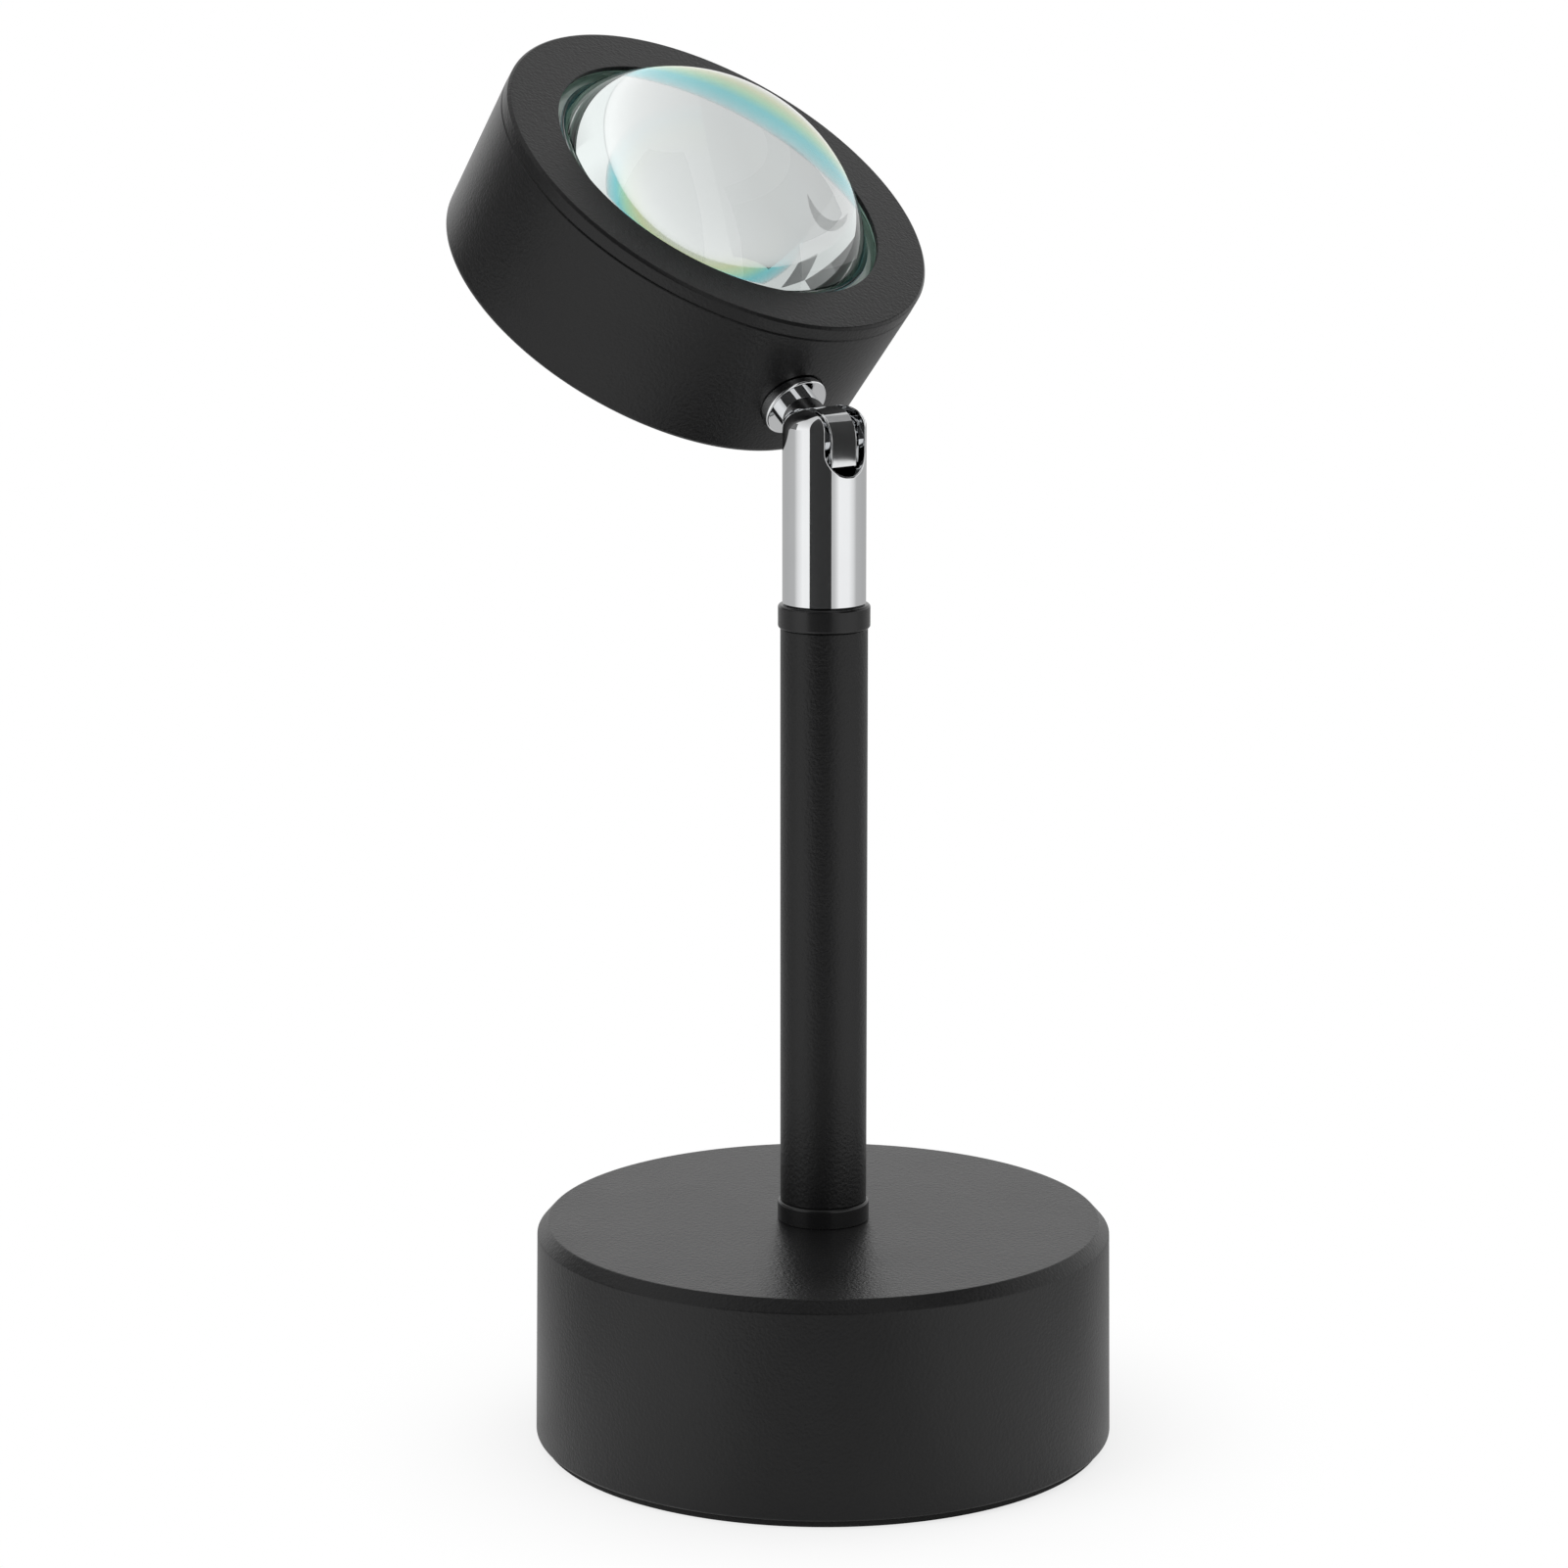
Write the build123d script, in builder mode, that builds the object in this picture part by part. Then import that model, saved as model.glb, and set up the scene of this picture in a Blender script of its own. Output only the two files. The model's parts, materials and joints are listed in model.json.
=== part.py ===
from build123d import *
import os
from math import acos, cos, degrees, hypot, radians, sin, sqrt

# A folding projection lamp: a weighted drum base, a slim stem, a chrome swivel with a fold
# hinge, and a round head behind a thick convex lens. Millimetres, +Z up, the lamp's front
# towards -Y, and the origin on the table under the stem.

# Clearances
press_gap = 0.01  # pressed pins, radial
fit_gap = 0.02  # screwed and spigoted pieces, radial
running_gap = 0.05  # turning pieces, radial and beside the tongue
loose_gap = 0.3  # pieces dropped into a housing, radial

# Base: a drawn steel shell over a cast weight, closed by a plate and a rubber pad
base_diameter = 90.0
base_height = 35.1
base_draft = 0.45
base_wall = 1.5
shoulder_width = 1.6
shoulder_height = 1.8
rim_round = 0.5
shoulder_round = 0.4
pad_thickness = 1.2
pad_inset = 1.1
plate_thickness = 1.5
weight_height = 8.3
weight_draft = 0.5
weight_round = 1.0
hub_diameter = 32.0
hub_draft = 0.5
hub_fillet = 3.0
well_diameter = 24.0
well_depth = 15.3
plate_screw_circle = 62.0
plate_screw_count = 3
plate_screw_diameter = 3.0
plate_screw_head = 5.2
plate_screw_reach = 6.0

# Cord entry: a rubber gland in the rear wall and a terminal block on the plate behind it
gland_height = 9.0
gland_bore = 4.5
gland_neck = 7.6
gland_flange = 10.6
gland_flange_thickness = 1.4
gland_collar = 9.4
gland_collar_thickness = 2.2
block_width = 12.0
block_length = 9.0
block_height = 9.0
block_setback = 9.7
block_pocket = 3.0
block_round = 0.6
block_screw_pitch = 5.0
block_screw_diameter = 3.0
block_screw_depth = 3.5
notch_width = 15.0

# Stem: a hollow threaded nipple, turned collars and a drawn tube
nipple_diameter = 8.0
nipple_bore = 5.2
nipple_tail = 0.8
nipple_engagement = 9.0
base_washer_diameter = 19.0
base_washer_thickness = 1.2
base_nut_width = 13.0
base_nut_height = 4.0
lower_collar_diameter = 14.2
lower_collar_height = 3.1
upper_collar_diameter = 14.1
upper_collar_height = 3.67
collar_round = 0.45
spigot_length = 10.0
pole_diameter = 13.38
pole_wall = 1.2
pole_length = 90.2
pole_edge = 0.15
lead_diameter = 1.4
lead_pitch = 1.6
lead_height = 4.5
lead_bend = 5.0
lead_tail = 2.0

# Swivel: a round-topped chrome sleeve with a slot for the tongue, turning on a hollow stud
sleeve_diameter = 12.76
sleeve_wall = 1.18
sleeve_edge = 0.25
slot_edge = 0.2
crown_height = 30.87
crown_radius = 10.1
crown_shoulder = 2.95
hinge_height = 25.23
slot_width = 7.6
slot_drop = 1.3
pin_diameter = 3.0
hinge_washer_diameter = 6.6
hinge_washer_thickness = 1.35
swivel_stud_diameter = 6.0
swivel_stud_bore = 3.8
swivel_stud_head = 5.9
swivel_washer_diameter = 9.6
swivel_washer_thickness = 0.8
swivel_nut_width = 8.0
swivel_nut_height = 3.0
stud_tail = 1.0

# Knuckle: a round tongue with a heel on the pin, a neck and a threaded stud into the head
neck_lean = 54.6
tongue_diameter = 9.7
tongue_thickness = 5.0
tongue_round = 0.3
heel_drop = 3.25
heel_depth = 4.1
heel_bevel = 0.45
neck_offset = 0.65
neck_diameter = 6.8
neck_start = 3.6
neck_length = 7.84
neck_bore = 2.6
neck_flange_diameter = 10.5
neck_flange_thickness = 2.0
neck_stud_diameter = 5.0
saddle_thickness = 1.2
neck_nut_width = 8.0
neck_nut_height = 2.0
neck_stud_tail = 0.3
seat_margin = 0.25
seat_relief = 0.05

# Head: a turned casing, a ring bezel and the optics, measured from the bezel's front face
head_twist = 6.8
head_diameter = 71.72
head_back_diameter = 69.88
head_depth = 25.84
neck_setback = 14.8
casing_wall = 2.0
casing_back = 3.0
back_round = 1.2
bezel_thickness = 2.45
bezel_ring = 8.48
bezel_lip = 0.75
bezel_edge = 0.7
bezel_spigot = 8.5
seam_edge = 0.2
dome_diameter = 52.2
dome_height = 14.72
lens_overlap = 1.02
lens_flange = 2.5
lens_bevel = 0.25
cell_gap = 0.15
gasket_thickness = 0.52
gasket_lap = 2.1
gasket_inset = 0.2
filter_thickness = 0.8
baffle_flange = 1.6
baffle_wall = 1.5
baffle_mouth = 48.0
baffle_throat = 15.0
throat_height = 2.1
skirt_diameter = 29.4
board_diameter = 23.0
board_thickness = 1.6
thermal_pad_thickness = 0.5
emitter_diameter = 12.0
emitter_base = 0.6
emitter_dome = 0.4
emitter_window = 9.0
board_screw_circle = 18.0
board_screw_diameter = 2.5
board_screw_head = 4.4
board_screw_head_height = 1.4
board_screw_bite = 2.2
wire_diameter = 0.9
wire_pitch = 1.2
wire_bend = 3.0
wire_start = 9.8
wire_knee = 22.0
wire_rise = 4.0
wire_reach = 4.0
wire_notch = 4.0

# Heights on the stand
plate_top = pad_thickness + plate_thickness
ceiling = base_height - base_wall
well_top = plate_top + well_depth
base_nut_top = well_top - base_washer_thickness
nipple_bottom = base_nut_top - base_nut_height - nipple_tail
pole_bottom = base_height + lower_collar_height
pole_top = pole_bottom + pole_length
sleeve_bottom = pole_top + upper_collar_height
hinge_z = sleeve_bottom + hinge_height
crown_z = sleeve_bottom + crown_height - crown_radius
spigot_bottom = pole_top - spigot_length
swivel_nut_top = spigot_bottom - swivel_washer_thickness
swivel_stud_bottom = swivel_nut_top - swivel_nut_height - stud_tail

# Radii on the stand
rim_radius = base_diameter / 2
shoulder_radius = rim_radius - base_draft
shell_inside = shoulder_radius - base_wall
gland_wall_radius = rim_radius - base_draft * (gland_height - pad_thickness) / (
    base_height - shoulder_height - pad_thickness
)
gland_inside = gland_wall_radius - base_wall
block_centre = gland_inside - gland_collar_thickness - block_setback - block_length / 2
pole_radius = pole_diameter / 2
pole_bore = pole_radius - pole_wall
sleeve_radius = sleeve_diameter / 2
sleeve_bore = sleeve_radius - sleeve_wall
shoulder_offset = sleeve_radius - crown_shoulder

# Depths in the head, along its axis from the bezel's front face
flange_front = -(bezel_lip + gasket_thickness)
lens_back = flange_front - lens_flange
apex = flange_front + dome_height
filter_back = lens_back - filter_thickness
casing_floor = -(head_depth - casing_back)
board_back = casing_floor + thermal_pad_thickness
board_front = board_back + board_thickness
emitter_top = board_front + emitter_base + emitter_dome
throat_depth = emitter_top + throat_height

# Radii in the head
head_radius = head_diameter / 2
back_radius = head_back_diameter / 2
bezel_bore = head_radius - bezel_ring
casing_bore = back_radius - casing_wall
dome_radius = dome_diameter / 2
dome_sphere = (dome_radius**2 + dome_height**2) / (2 * dome_height)
lens_radius = bezel_bore + lens_overlap
gasket_radius = lens_radius + gasket_thickness
cell_radius = gasket_radius + cell_gap
filter_ring = lens_radius - gasket_lap
taper = (head_radius - back_radius) / (head_depth - bezel_thickness)
neck_wall_radius = head_radius - taper * (neck_setback - bezel_thickness)

# Distances along the neck, from its root beside the hinge
seat_radius = neck_flange_diameter / 2 + seat_margin
flange_seat = neck_length + neck_flange_thickness
head_reach = flange_seat + sqrt(neck_wall_radius**2 - seat_radius**2) - seat_relief
saddle_inside = head_reach - casing_bore + saddle_thickness
neck_nut_inside = saddle_inside + neck_nut_height
neck_stud_end = neck_nut_inside + neck_stud_tail

# The sleeve's crown: the shoulder arc runs into the crown arc without a break
shoulder_turn = degrees(acos(shoulder_offset / (crown_radius - crown_shoulder)))
shoulder_z = crown_z + sqrt((crown_radius - crown_shoulder) ** 2 - shoulder_offset**2)

# Directions and planes
lean = radians(neck_lean)
twist = radians(head_twist)
hinge = Vector(0, 0, hinge_z)
pin_dir = Vector(1, 0, 0)
neck_dir = Vector(0, sin(lean), cos(lean))
fold_dir = Vector(0, -cos(lean), sin(lean))
head_dir = fold_dir * cos(twist) + pin_dir * sin(twist)
neck_root = hinge - fold_dir * neck_offset
face_centre = neck_root + neck_dir * head_reach + head_dir * neck_setback

rear_plane = Plane((0, 0, gland_height), x_dir=(1, 0, 0), z_dir=(0, 1, 0))
pin_plane = Plane(hinge, x_dir=(0, 1, 0), z_dir=pin_dir)
neck_plane = Plane(neck_root, x_dir=pin_dir, z_dir=neck_dir)
head_plane = Plane(face_centre, x_dir=-neck_dir, z_dir=head_dir)
head_section = Plane(face_centre, x_dir=-neck_dir, z_dir=head_dir.cross(neck_dir))
head_axis = Axis(face_centre, head_dir)


def nut_corner(width):
    """Corner radius of a hexagon from its width across flats."""
    return width / sqrt(3)


def section(plane, *points):
    """Closed outline of (radius, height) points on a half-plane through a turning axis."""
    with BuildSketch(plane) as outline:
        with BuildLine():
            Polyline(*points, close=True)
        make_face()
    return outline.sketch


def round_top(inset):
    """Half outline of the sleeve's form, moved in by a wall: straight side, shoulder arc and crown arc."""
    side = sleeve_radius - inset
    with BuildSketch(Plane.XZ) as outline:
        with BuildLine():
            Polyline(
                (0, crown_z + crown_radius - inset),
                (0, sleeve_bottom),
                (side, sleeve_bottom),
                (side, shoulder_z),
            )
            CenterArc((shoulder_offset, shoulder_z), crown_shoulder - inset, 0, shoulder_turn)
            CenterArc((0, crown_z), crown_radius - inset, shoulder_turn, 90 - shoulder_turn)
        make_face()
    return outline.sketch


def ring(plane, outer, inner):
    """Flat ring on a plane, given its two radii."""
    with BuildSketch(plane) as outline:
        Circle(outer)
        Circle(inner, mode=Mode.SUBTRACT)
    return outline.sketch


def hexagon(plane, width, bore):
    """Hexagon nut's face on a plane, given its width across flats and its bore radius."""
    with BuildSketch(plane) as outline:
        RegularPolygon(nut_corner(width), 6)
        Circle(bore, mode=Mode.SUBTRACT)
    return outline.sketch


# Base shell: slight draft, a flat shoulder chamfer, open underneath
shell_shoulder = base_height - shoulder_height


def on_shoulder(edge):
    """Whether a round edge bounds the shoulder chamfer on the outside."""
    outside = edge.radius > shoulder_radius - shoulder_width - fit_gap
    return outside and edge.center().Z > shell_shoulder - fit_gap


with BuildPart() as base_shell:
    revolve(
        section(
            Plane.XZ,
            (0, pad_thickness),
            (rim_radius, pad_thickness),
            (shoulder_radius, shell_shoulder),
            (shoulder_radius - shoulder_width, base_height),
            (0, base_height),
        ),
        axis=Axis.Z,
    )
    offset(amount=-base_wall, openings=base_shell.faces().sort_by(Axis.Z)[0])
    fillet(base_shell.edges().group_by(Axis.Z)[0].sort_by(SortBy.RADIUS)[-1], rim_round)
    fillet(base_shell.edges().filter_by(GeomType.CIRCLE).filter_by(on_shoulder), shoulder_round)
    with Locations((0, 0, base_height)):
        Hole(nipple_diameter / 2 + fit_gap, depth=2 * base_wall)
    with BuildSketch(rear_plane.offset(shell_inside - base_wall)):
        Circle(gland_neck / 2)
    extrude(amount=3 * base_wall + base_draft, mode=Mode.SUBTRACT)

# Cast weight: a disc with a hub up to the shell's top, notched at the rear for the cord
weight_radius = shell_inside - loose_gap
weight_top = plate_top + weight_height
hub_radius = hub_diameter / 2
notch_height = gland_height + gland_flange / 2 + loose_gap - plate_top
with BuildPart() as base_weight:
    revolve(
        section(
            Plane.XZ,
            (nipple_diameter / 2 + loose_gap, ceiling),
            (hub_radius - hub_draft, ceiling),
            (hub_radius, weight_top),
            (weight_radius - weight_draft, weight_top),
            (weight_radius, plate_top),
            (well_diameter / 2, plate_top),
            (well_diameter / 2, well_top),
            (nipple_diameter / 2 + loose_gap, well_top),
        ),
        axis=Axis.Z,
    )
    weight_rings = base_weight.edges().filter_by(GeomType.CIRCLE)
    disc_edges = weight_rings.filter_by(lambda edge: abs(edge.center().Z - weight_top) < fit_gap)
    fillet(disc_edges.sort_by(SortBy.RADIUS)[0], hub_fillet)
    weight_rings = base_weight.edges().filter_by(GeomType.CIRCLE)
    disc_edges = weight_rings.filter_by(lambda edge: abs(edge.center().Z - weight_top) < fit_gap)
    fillet(disc_edges.sort_by(SortBy.RADIUS)[-1], weight_round)
    with BuildSketch(Plane.XY.offset(plate_top)):
        with Locations((0, weight_radius / 2)):
            Rectangle(notch_width, weight_radius)
    extrude(amount=notch_height, mode=Mode.SUBTRACT)
    with BuildSketch(Plane.XY.offset(plate_top)):
        with PolarLocations(plate_screw_circle / 2, plate_screw_count, start_angle=-90):
            Circle(plate_screw_diameter / 2 + fit_gap)
    extrude(amount=plate_screw_reach, mode=Mode.SUBTRACT)

# Base plate: flush with the rim, with countersunk screws up into the weight
sink_depth = (plate_screw_head - plate_screw_diameter) / 2
with BuildPart() as base_plate:
    with BuildSketch(Plane.XY.offset(pad_thickness)):
        Circle(shell_inside)
    extrude(amount=plate_thickness)
    with Locations(Plane.XY.offset(pad_thickness).rotated((180, 0, 0))):
        with PolarLocations(plate_screw_circle / 2, plate_screw_count, start_angle=90):
            CounterSinkHole(
                plate_screw_diameter / 2 + fit_gap,
                plate_screw_head / 2 + fit_gap,
                counter_sink_angle=90,
            )

with BuildPart() as base_plate_screws:
    with PolarLocations(plate_screw_circle / 2, plate_screw_count, start_angle=-90):
        Cone(
            plate_screw_head / 2,
            plate_screw_diameter / 2,
            sink_depth,
            align=(Align.CENTER, Align.CENTER, Align.MIN),
        )
        Cylinder(
            plate_screw_diameter / 2,
            plate_thickness + plate_screw_reach,
            align=(Align.CENTER, Align.CENTER, Align.MIN),
        )
base_plate_screws.part.locate(Location((0, 0, pad_thickness)))

with BuildPart() as foot_pad:
    with BuildSketch():
        Circle(rim_radius - pad_inset)
    extrude(amount=pad_thickness)

# Cord gland: a grooved rubber grommet whose flange sits on the curved wall
with BuildPart() as cord_gland:
    with BuildSketch(rear_plane.offset(gland_inside - gland_collar_thickness)):
        Circle(gland_collar / 2)
    extrude(amount=gland_collar_thickness + gland_flange_thickness)
    with BuildSketch(rear_plane.offset(gland_inside)):
        Circle(gland_flange / 2)
    extrude(amount=base_wall + gland_flange_thickness)
    fillet(cord_gland.edges().filter_by(GeomType.CIRCLE).sort_by(Axis.Y)[-1], gland_flange_thickness / 2)
    add(base_shell.part, mode=Mode.SUBTRACT)
    with BuildSketch(rear_plane.offset(gland_inside - gland_collar_thickness)):
        Circle(gland_bore / 2)
    extrude(amount=gland_collar_thickness + base_wall + gland_flange_thickness, mode=Mode.SUBTRACT)

# Terminal block: takes the cord at its rear and the stem lead at its front
block_plane = Plane.XY.offset(plate_top)
lead_z = plate_top + lead_height
with BuildPart() as terminal_block:
    with BuildSketch(block_plane):
        with Locations((0, block_centre)):
            RectangleRounded(block_width, block_length, block_round)
    extrude(amount=block_height)
    with BuildSketch(Plane((0, block_centre - block_length / 2, lead_z), x_dir=(1, 0, 0), z_dir=(0, 1, 0))):
        SlotCenterToCenter(lead_pitch, lead_diameter + 2 * running_gap)
    extrude(amount=block_pocket, mode=Mode.SUBTRACT)
    with BuildSketch(Plane((0, block_centre + block_length / 2, lead_z), x_dir=(1, 0, 0), z_dir=(0, 1, 0))):
        Circle(gland_bore / 2)
    extrude(amount=-block_pocket, mode=Mode.SUBTRACT)
    with BuildSketch(block_plane.offset(block_height)):
        with Locations((0, block_centre)):
            with GridLocations(block_screw_pitch, 0, 2, 1):
                Circle(block_screw_diameter / 2 + fit_gap)
    extrude(amount=-block_screw_depth, mode=Mode.SUBTRACT)

with BuildPart() as terminal_screws:
    with BuildSketch(block_plane.offset(block_height - block_screw_depth)):
        with Locations((0, block_centre)):
            with GridLocations(block_screw_pitch, 0, 2, 1):
                Circle(block_screw_diameter / 2)
    extrude(amount=block_screw_depth - loose_gap)

# Hollow nipple with its washer and nut under the hub
nipple_radius = nipple_diameter / 2
with BuildPart() as stem_nipple:
    extrude(
        ring(Plane.XY.offset(nipple_bottom), nipple_radius, nipple_bore / 2),
        amount=base_height + nipple_engagement - nipple_bottom,
    )

with BuildPart() as base_washer:
    extrude(
        ring(Plane.XY.offset(base_nut_top), base_washer_diameter / 2, nipple_radius + fit_gap),
        amount=base_washer_thickness,
    )

with BuildPart() as base_nut:
    extrude(
        hexagon(Plane.XY.offset(base_nut_top), base_nut_width, nipple_radius + fit_gap),
        amount=-base_nut_height,
    )

# Collars: turned end plugs, each with a spigot inside the tube
spigot_radius = pole_bore - fit_gap
lower_bore = nipple_radius + fit_gap
with BuildPart() as lower_collar:
    extrude(
        ring(Plane.XY.offset(base_height), lower_collar_diameter / 2, lower_bore),
        amount=lower_collar_height,
    )
    fillet(lower_collar.edges().group_by(Axis.Z)[-1].sort_by(SortBy.RADIUS)[-1], collar_round)
    extrude(ring(Plane.XY.offset(pole_bottom), spigot_radius, lower_bore), amount=spigot_length)

with BuildPart() as pole_tube:
    extrude(ring(Plane.XY.offset(pole_bottom), pole_radius, pole_bore), amount=pole_length)
    outer_ends = pole_tube.edges().filter_by(GeomType.CIRCLE).group_by(SortBy.RADIUS)[-1]
    chamfer(outer_ends, pole_edge)

swivel_radius = swivel_stud_diameter / 2
upper_bore = swivel_radius + running_gap
with BuildPart() as upper_collar:
    extrude(
        ring(Plane.XY.offset(pole_top), upper_collar_diameter / 2, upper_bore),
        amount=upper_collar_height,
    )
    fillet(upper_collar.edges().filter_by(GeomType.CIRCLE).group_by(SortBy.RADIUS)[-1], collar_round)
    extrude(ring(Plane.XY.offset(pole_top), spigot_radius, upper_bore), amount=-spigot_length)

# Twin lead from the terminal block, up the nipple and the tube, into the sleeve
lead_start = block_centre - block_length / 2 + block_pocket / 2
lead_end = sleeve_bottom + swivel_stud_head + lead_tail
with BuildPart() as stem_lead:
    for side in (-1, 1):
        with BuildLine(Plane.YZ.offset(side * lead_pitch / 2)) as route:
            FilletPolyline((lead_start, lead_z), (0, lead_z), (0, lead_end), radius=lead_bend)
        with BuildSketch(Plane(route.line ^ 0)):
            Circle(lead_diameter / 2)
        sweep()

# Swivel sleeve: round-topped, hollow, slotted front to back for the tongue and neck
slot_top = crown_height - hinge_height + slot_drop + slot_width / 2
slot_floor = hinge_z - slot_drop - slot_width / 2


def on_sleeve_surface(edge):
    """Whether an edge of the slot lies on the sleeve's outer surface."""
    middle = edge @ 0.5
    spread = hypot(middle.X, middle.Y)
    on_side = abs(spread - sleeve_radius) < fit_gap
    on_arc = abs(hypot(spread - shoulder_offset, middle.Z - shoulder_z) - crown_shoulder) < fit_gap
    on_crown = abs(hypot(spread, middle.Z - crown_z) - crown_radius) < fit_gap
    return middle.Z > slot_floor - fit_gap and (on_side or on_arc or on_crown)


with BuildPart() as swivel_sleeve:
    revolve(round_top(0), axis=Axis.Z)
    chamfer(swivel_sleeve.edges().filter_by(GeomType.CIRCLE).sort_by(Axis.Z)[0], sleeve_edge)
    revolve(round_top(sleeve_wall), axis=Axis.Z, mode=Mode.SUBTRACT)
    with BuildSketch(Plane.XZ):
        with Locations((0, hinge_z - slot_drop)):
            Circle(slot_width / 2)
        with Locations((0, hinge_z - slot_drop + slot_top / 2)):
            Rectangle(slot_width, slot_top)
    extrude(amount=sleeve_diameter, both=True, mode=Mode.SUBTRACT)
    chamfer(swivel_sleeve.edges().filter_by(on_sleeve_surface), slot_edge)
    with BuildSketch(pin_plane):
        Circle(pin_diameter / 2 + press_gap)
    extrude(amount=sleeve_diameter, both=True, mode=Mode.SUBTRACT)

# Swivel stud: its head is pressed into the sleeve, its shank turns in the upper collar
with BuildPart() as swivel_stud:
    extrude(
        ring(Plane.XY.offset(sleeve_bottom), sleeve_bore - fit_gap, swivel_stud_bore / 2),
        amount=swivel_stud_head,
    )
    extrude(
        ring(Plane.XY.offset(swivel_stud_bottom), swivel_radius, swivel_stud_bore / 2),
        amount=sleeve_bottom - swivel_stud_bottom,
    )

with BuildPart() as swivel_washer:
    extrude(
        ring(Plane.XY.offset(spigot_bottom), swivel_washer_diameter / 2, swivel_radius + fit_gap),
        amount=-swivel_washer_thickness,
    )

with BuildPart() as swivel_nut:
    extrude(
        hexagon(Plane.XY.offset(swivel_nut_top), swivel_nut_width, swivel_radius + fit_gap),
        amount=-swivel_nut_height,
    )

# Hinge pin, its ends dressed flush with the sleeve, and a friction washer each side
with BuildPart() as hinge_pin:
    with BuildSketch(pin_plane):
        Circle(pin_diameter / 2)
    extrude(amount=sleeve_radius, both=True)
    revolve(round_top(0), axis=Axis.Z, mode=Mode.INTERSECT)

with BuildPart() as hinge_washers:
    for side in (-1, 1):
        extrude(
            ring(
                pin_plane.offset(side * (tongue_thickness / 2 + running_gap)),
                hinge_washer_diameter / 2,
                pin_diameter / 2 + fit_gap,
            ),
            amount=side * hinge_washer_thickness,
        )

# Knuckle: tongue, neck and hollow stud in one turned and milled piece
tongue_radius = tongue_diameter / 2
with BuildPart() as knuckle:
    with BuildSketch(pin_plane):
        Circle(tongue_radius)
        with BuildLine():
            Polyline(
                (0, 0),
                (-tongue_radius, 0),
                (-tongue_radius, -heel_drop),
                (heel_bevel - tongue_radius, -heel_depth),
                (0, -heel_depth),
                close=True,
            )
        make_face()
    extrude(amount=tongue_thickness / 2, both=True)
    tongue_sides = knuckle.faces().filter_by(Axis.X)
    fillet(tongue_sides.edges(), tongue_round)
    with BuildSketch(neck_plane.offset(neck_start)):
        Circle(neck_diameter / 2)
    extrude(amount=neck_length - neck_start)
    with BuildSketch(neck_plane.offset(neck_length)):
        Circle(neck_stud_diameter / 2)
    extrude(amount=neck_stud_end - neck_length)
    with BuildSketch(neck_plane.offset(neck_stud_end)):
        Circle(neck_bore / 2)
    extrude(amount=neck_start + neck_bore / 2 - neck_stud_end, mode=Mode.SUBTRACT)
    with BuildSketch(pin_plane):
        Circle(pin_diameter / 2 + running_gap)
    extrude(amount=tongue_thickness, both=True, mode=Mode.SUBTRACT)

neck_stud_radius = neck_stud_diameter / 2
with BuildPart() as neck_flange:
    extrude(
        ring(neck_plane.offset(neck_length), neck_flange_diameter / 2, neck_stud_radius + fit_gap),
        amount=neck_flange_thickness,
    )

# Saddle washer: curved to the casing's bore, flat under the nut
with BuildPart() as saddle_washer:
    extrude(
        ring(neck_plane.offset(saddle_inside), nut_corner(neck_nut_width), neck_stud_radius + fit_gap),
        amount=-2 * saddle_thickness,
    )
    revolve(
        section(
            head_section,
            (0, 0),
            (casing_bore, 0),
            (casing_bore, casing_floor),
            (0, casing_floor),
        ),
        axis=head_axis,
        mode=Mode.INTERSECT,
    )

with BuildPart() as neck_nut:
    extrude(
        hexagon(neck_plane.offset(saddle_inside), neck_nut_width, neck_stud_radius + fit_gap),
        amount=neck_nut_height,
    )

# Head casing: a turned cup with a flat seat for the neck and blind holes for the board
board_hole_depth = board_screw_bite + loose_gap
with BuildPart() as head_casing:
    revolve(
        section(
            head_section,
            (casing_bore, -bezel_thickness),
            (head_radius - seam_edge, -bezel_thickness),
            (head_radius, -bezel_thickness - seam_edge),
            (back_radius, -head_depth),
            (0, -head_depth),
            (0, casing_floor),
            (casing_bore, casing_floor),
        ),
        axis=head_axis,
    )
    fillet(head_casing.edges().filter_by(GeomType.CIRCLE).group_by(head_axis)[0], back_round)
    with BuildSketch(neck_plane.offset(flange_seat)):
        Circle(seat_radius)
    extrude(amount=-neck_flange_thickness, mode=Mode.SUBTRACT)
    with BuildSketch(neck_plane.offset(neck_length)):
        Circle(neck_stud_radius + fit_gap)
    extrude(amount=neck_nut_inside - neck_length, mode=Mode.SUBTRACT)
    with BuildSketch(head_plane.offset(casing_floor)):
        with PolarLocations(board_screw_circle / 2, 2, start_angle=90):
            Circle(board_screw_diameter / 2 + fit_gap)
    extrude(amount=-board_hole_depth, mode=Mode.SUBTRACT)

# Bezel: a ring face with a spigot in the casing's mouth and a cell for the lens
with BuildPart() as front_bezel:
    revolve(
        section(
            head_section,
            (bezel_bore, 0),
            (head_radius - bezel_edge, 0),
            (head_radius, -bezel_edge),
            (head_radius, seam_edge - bezel_thickness),
            (head_radius - seam_edge, -bezel_thickness),
            (casing_bore - fit_gap, -bezel_thickness),
            (casing_bore - fit_gap, -bezel_spigot),
            (cell_radius, -bezel_spigot),
            (cell_radius, -bezel_lip),
            (bezel_bore, -bezel_lip),
        ),
        axis=head_axis,
    )

# Lens: a moulded plano-convex dome on a flat round flange
with BuildPart() as lens:
    with BuildSketch(head_section):
        with BuildLine():
            RadiusArc((dome_radius, flange_front), (0, apex), -dome_sphere)
            Polyline(
                (0, apex),
                (0, lens_back),
                (lens_radius - lens_bevel, lens_back),
                (lens_radius, lens_back + lens_bevel),
                (lens_radius, flange_front),
                (dome_radius, flange_front),
            )
        make_face()
    revolve(axis=head_axis)

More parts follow.
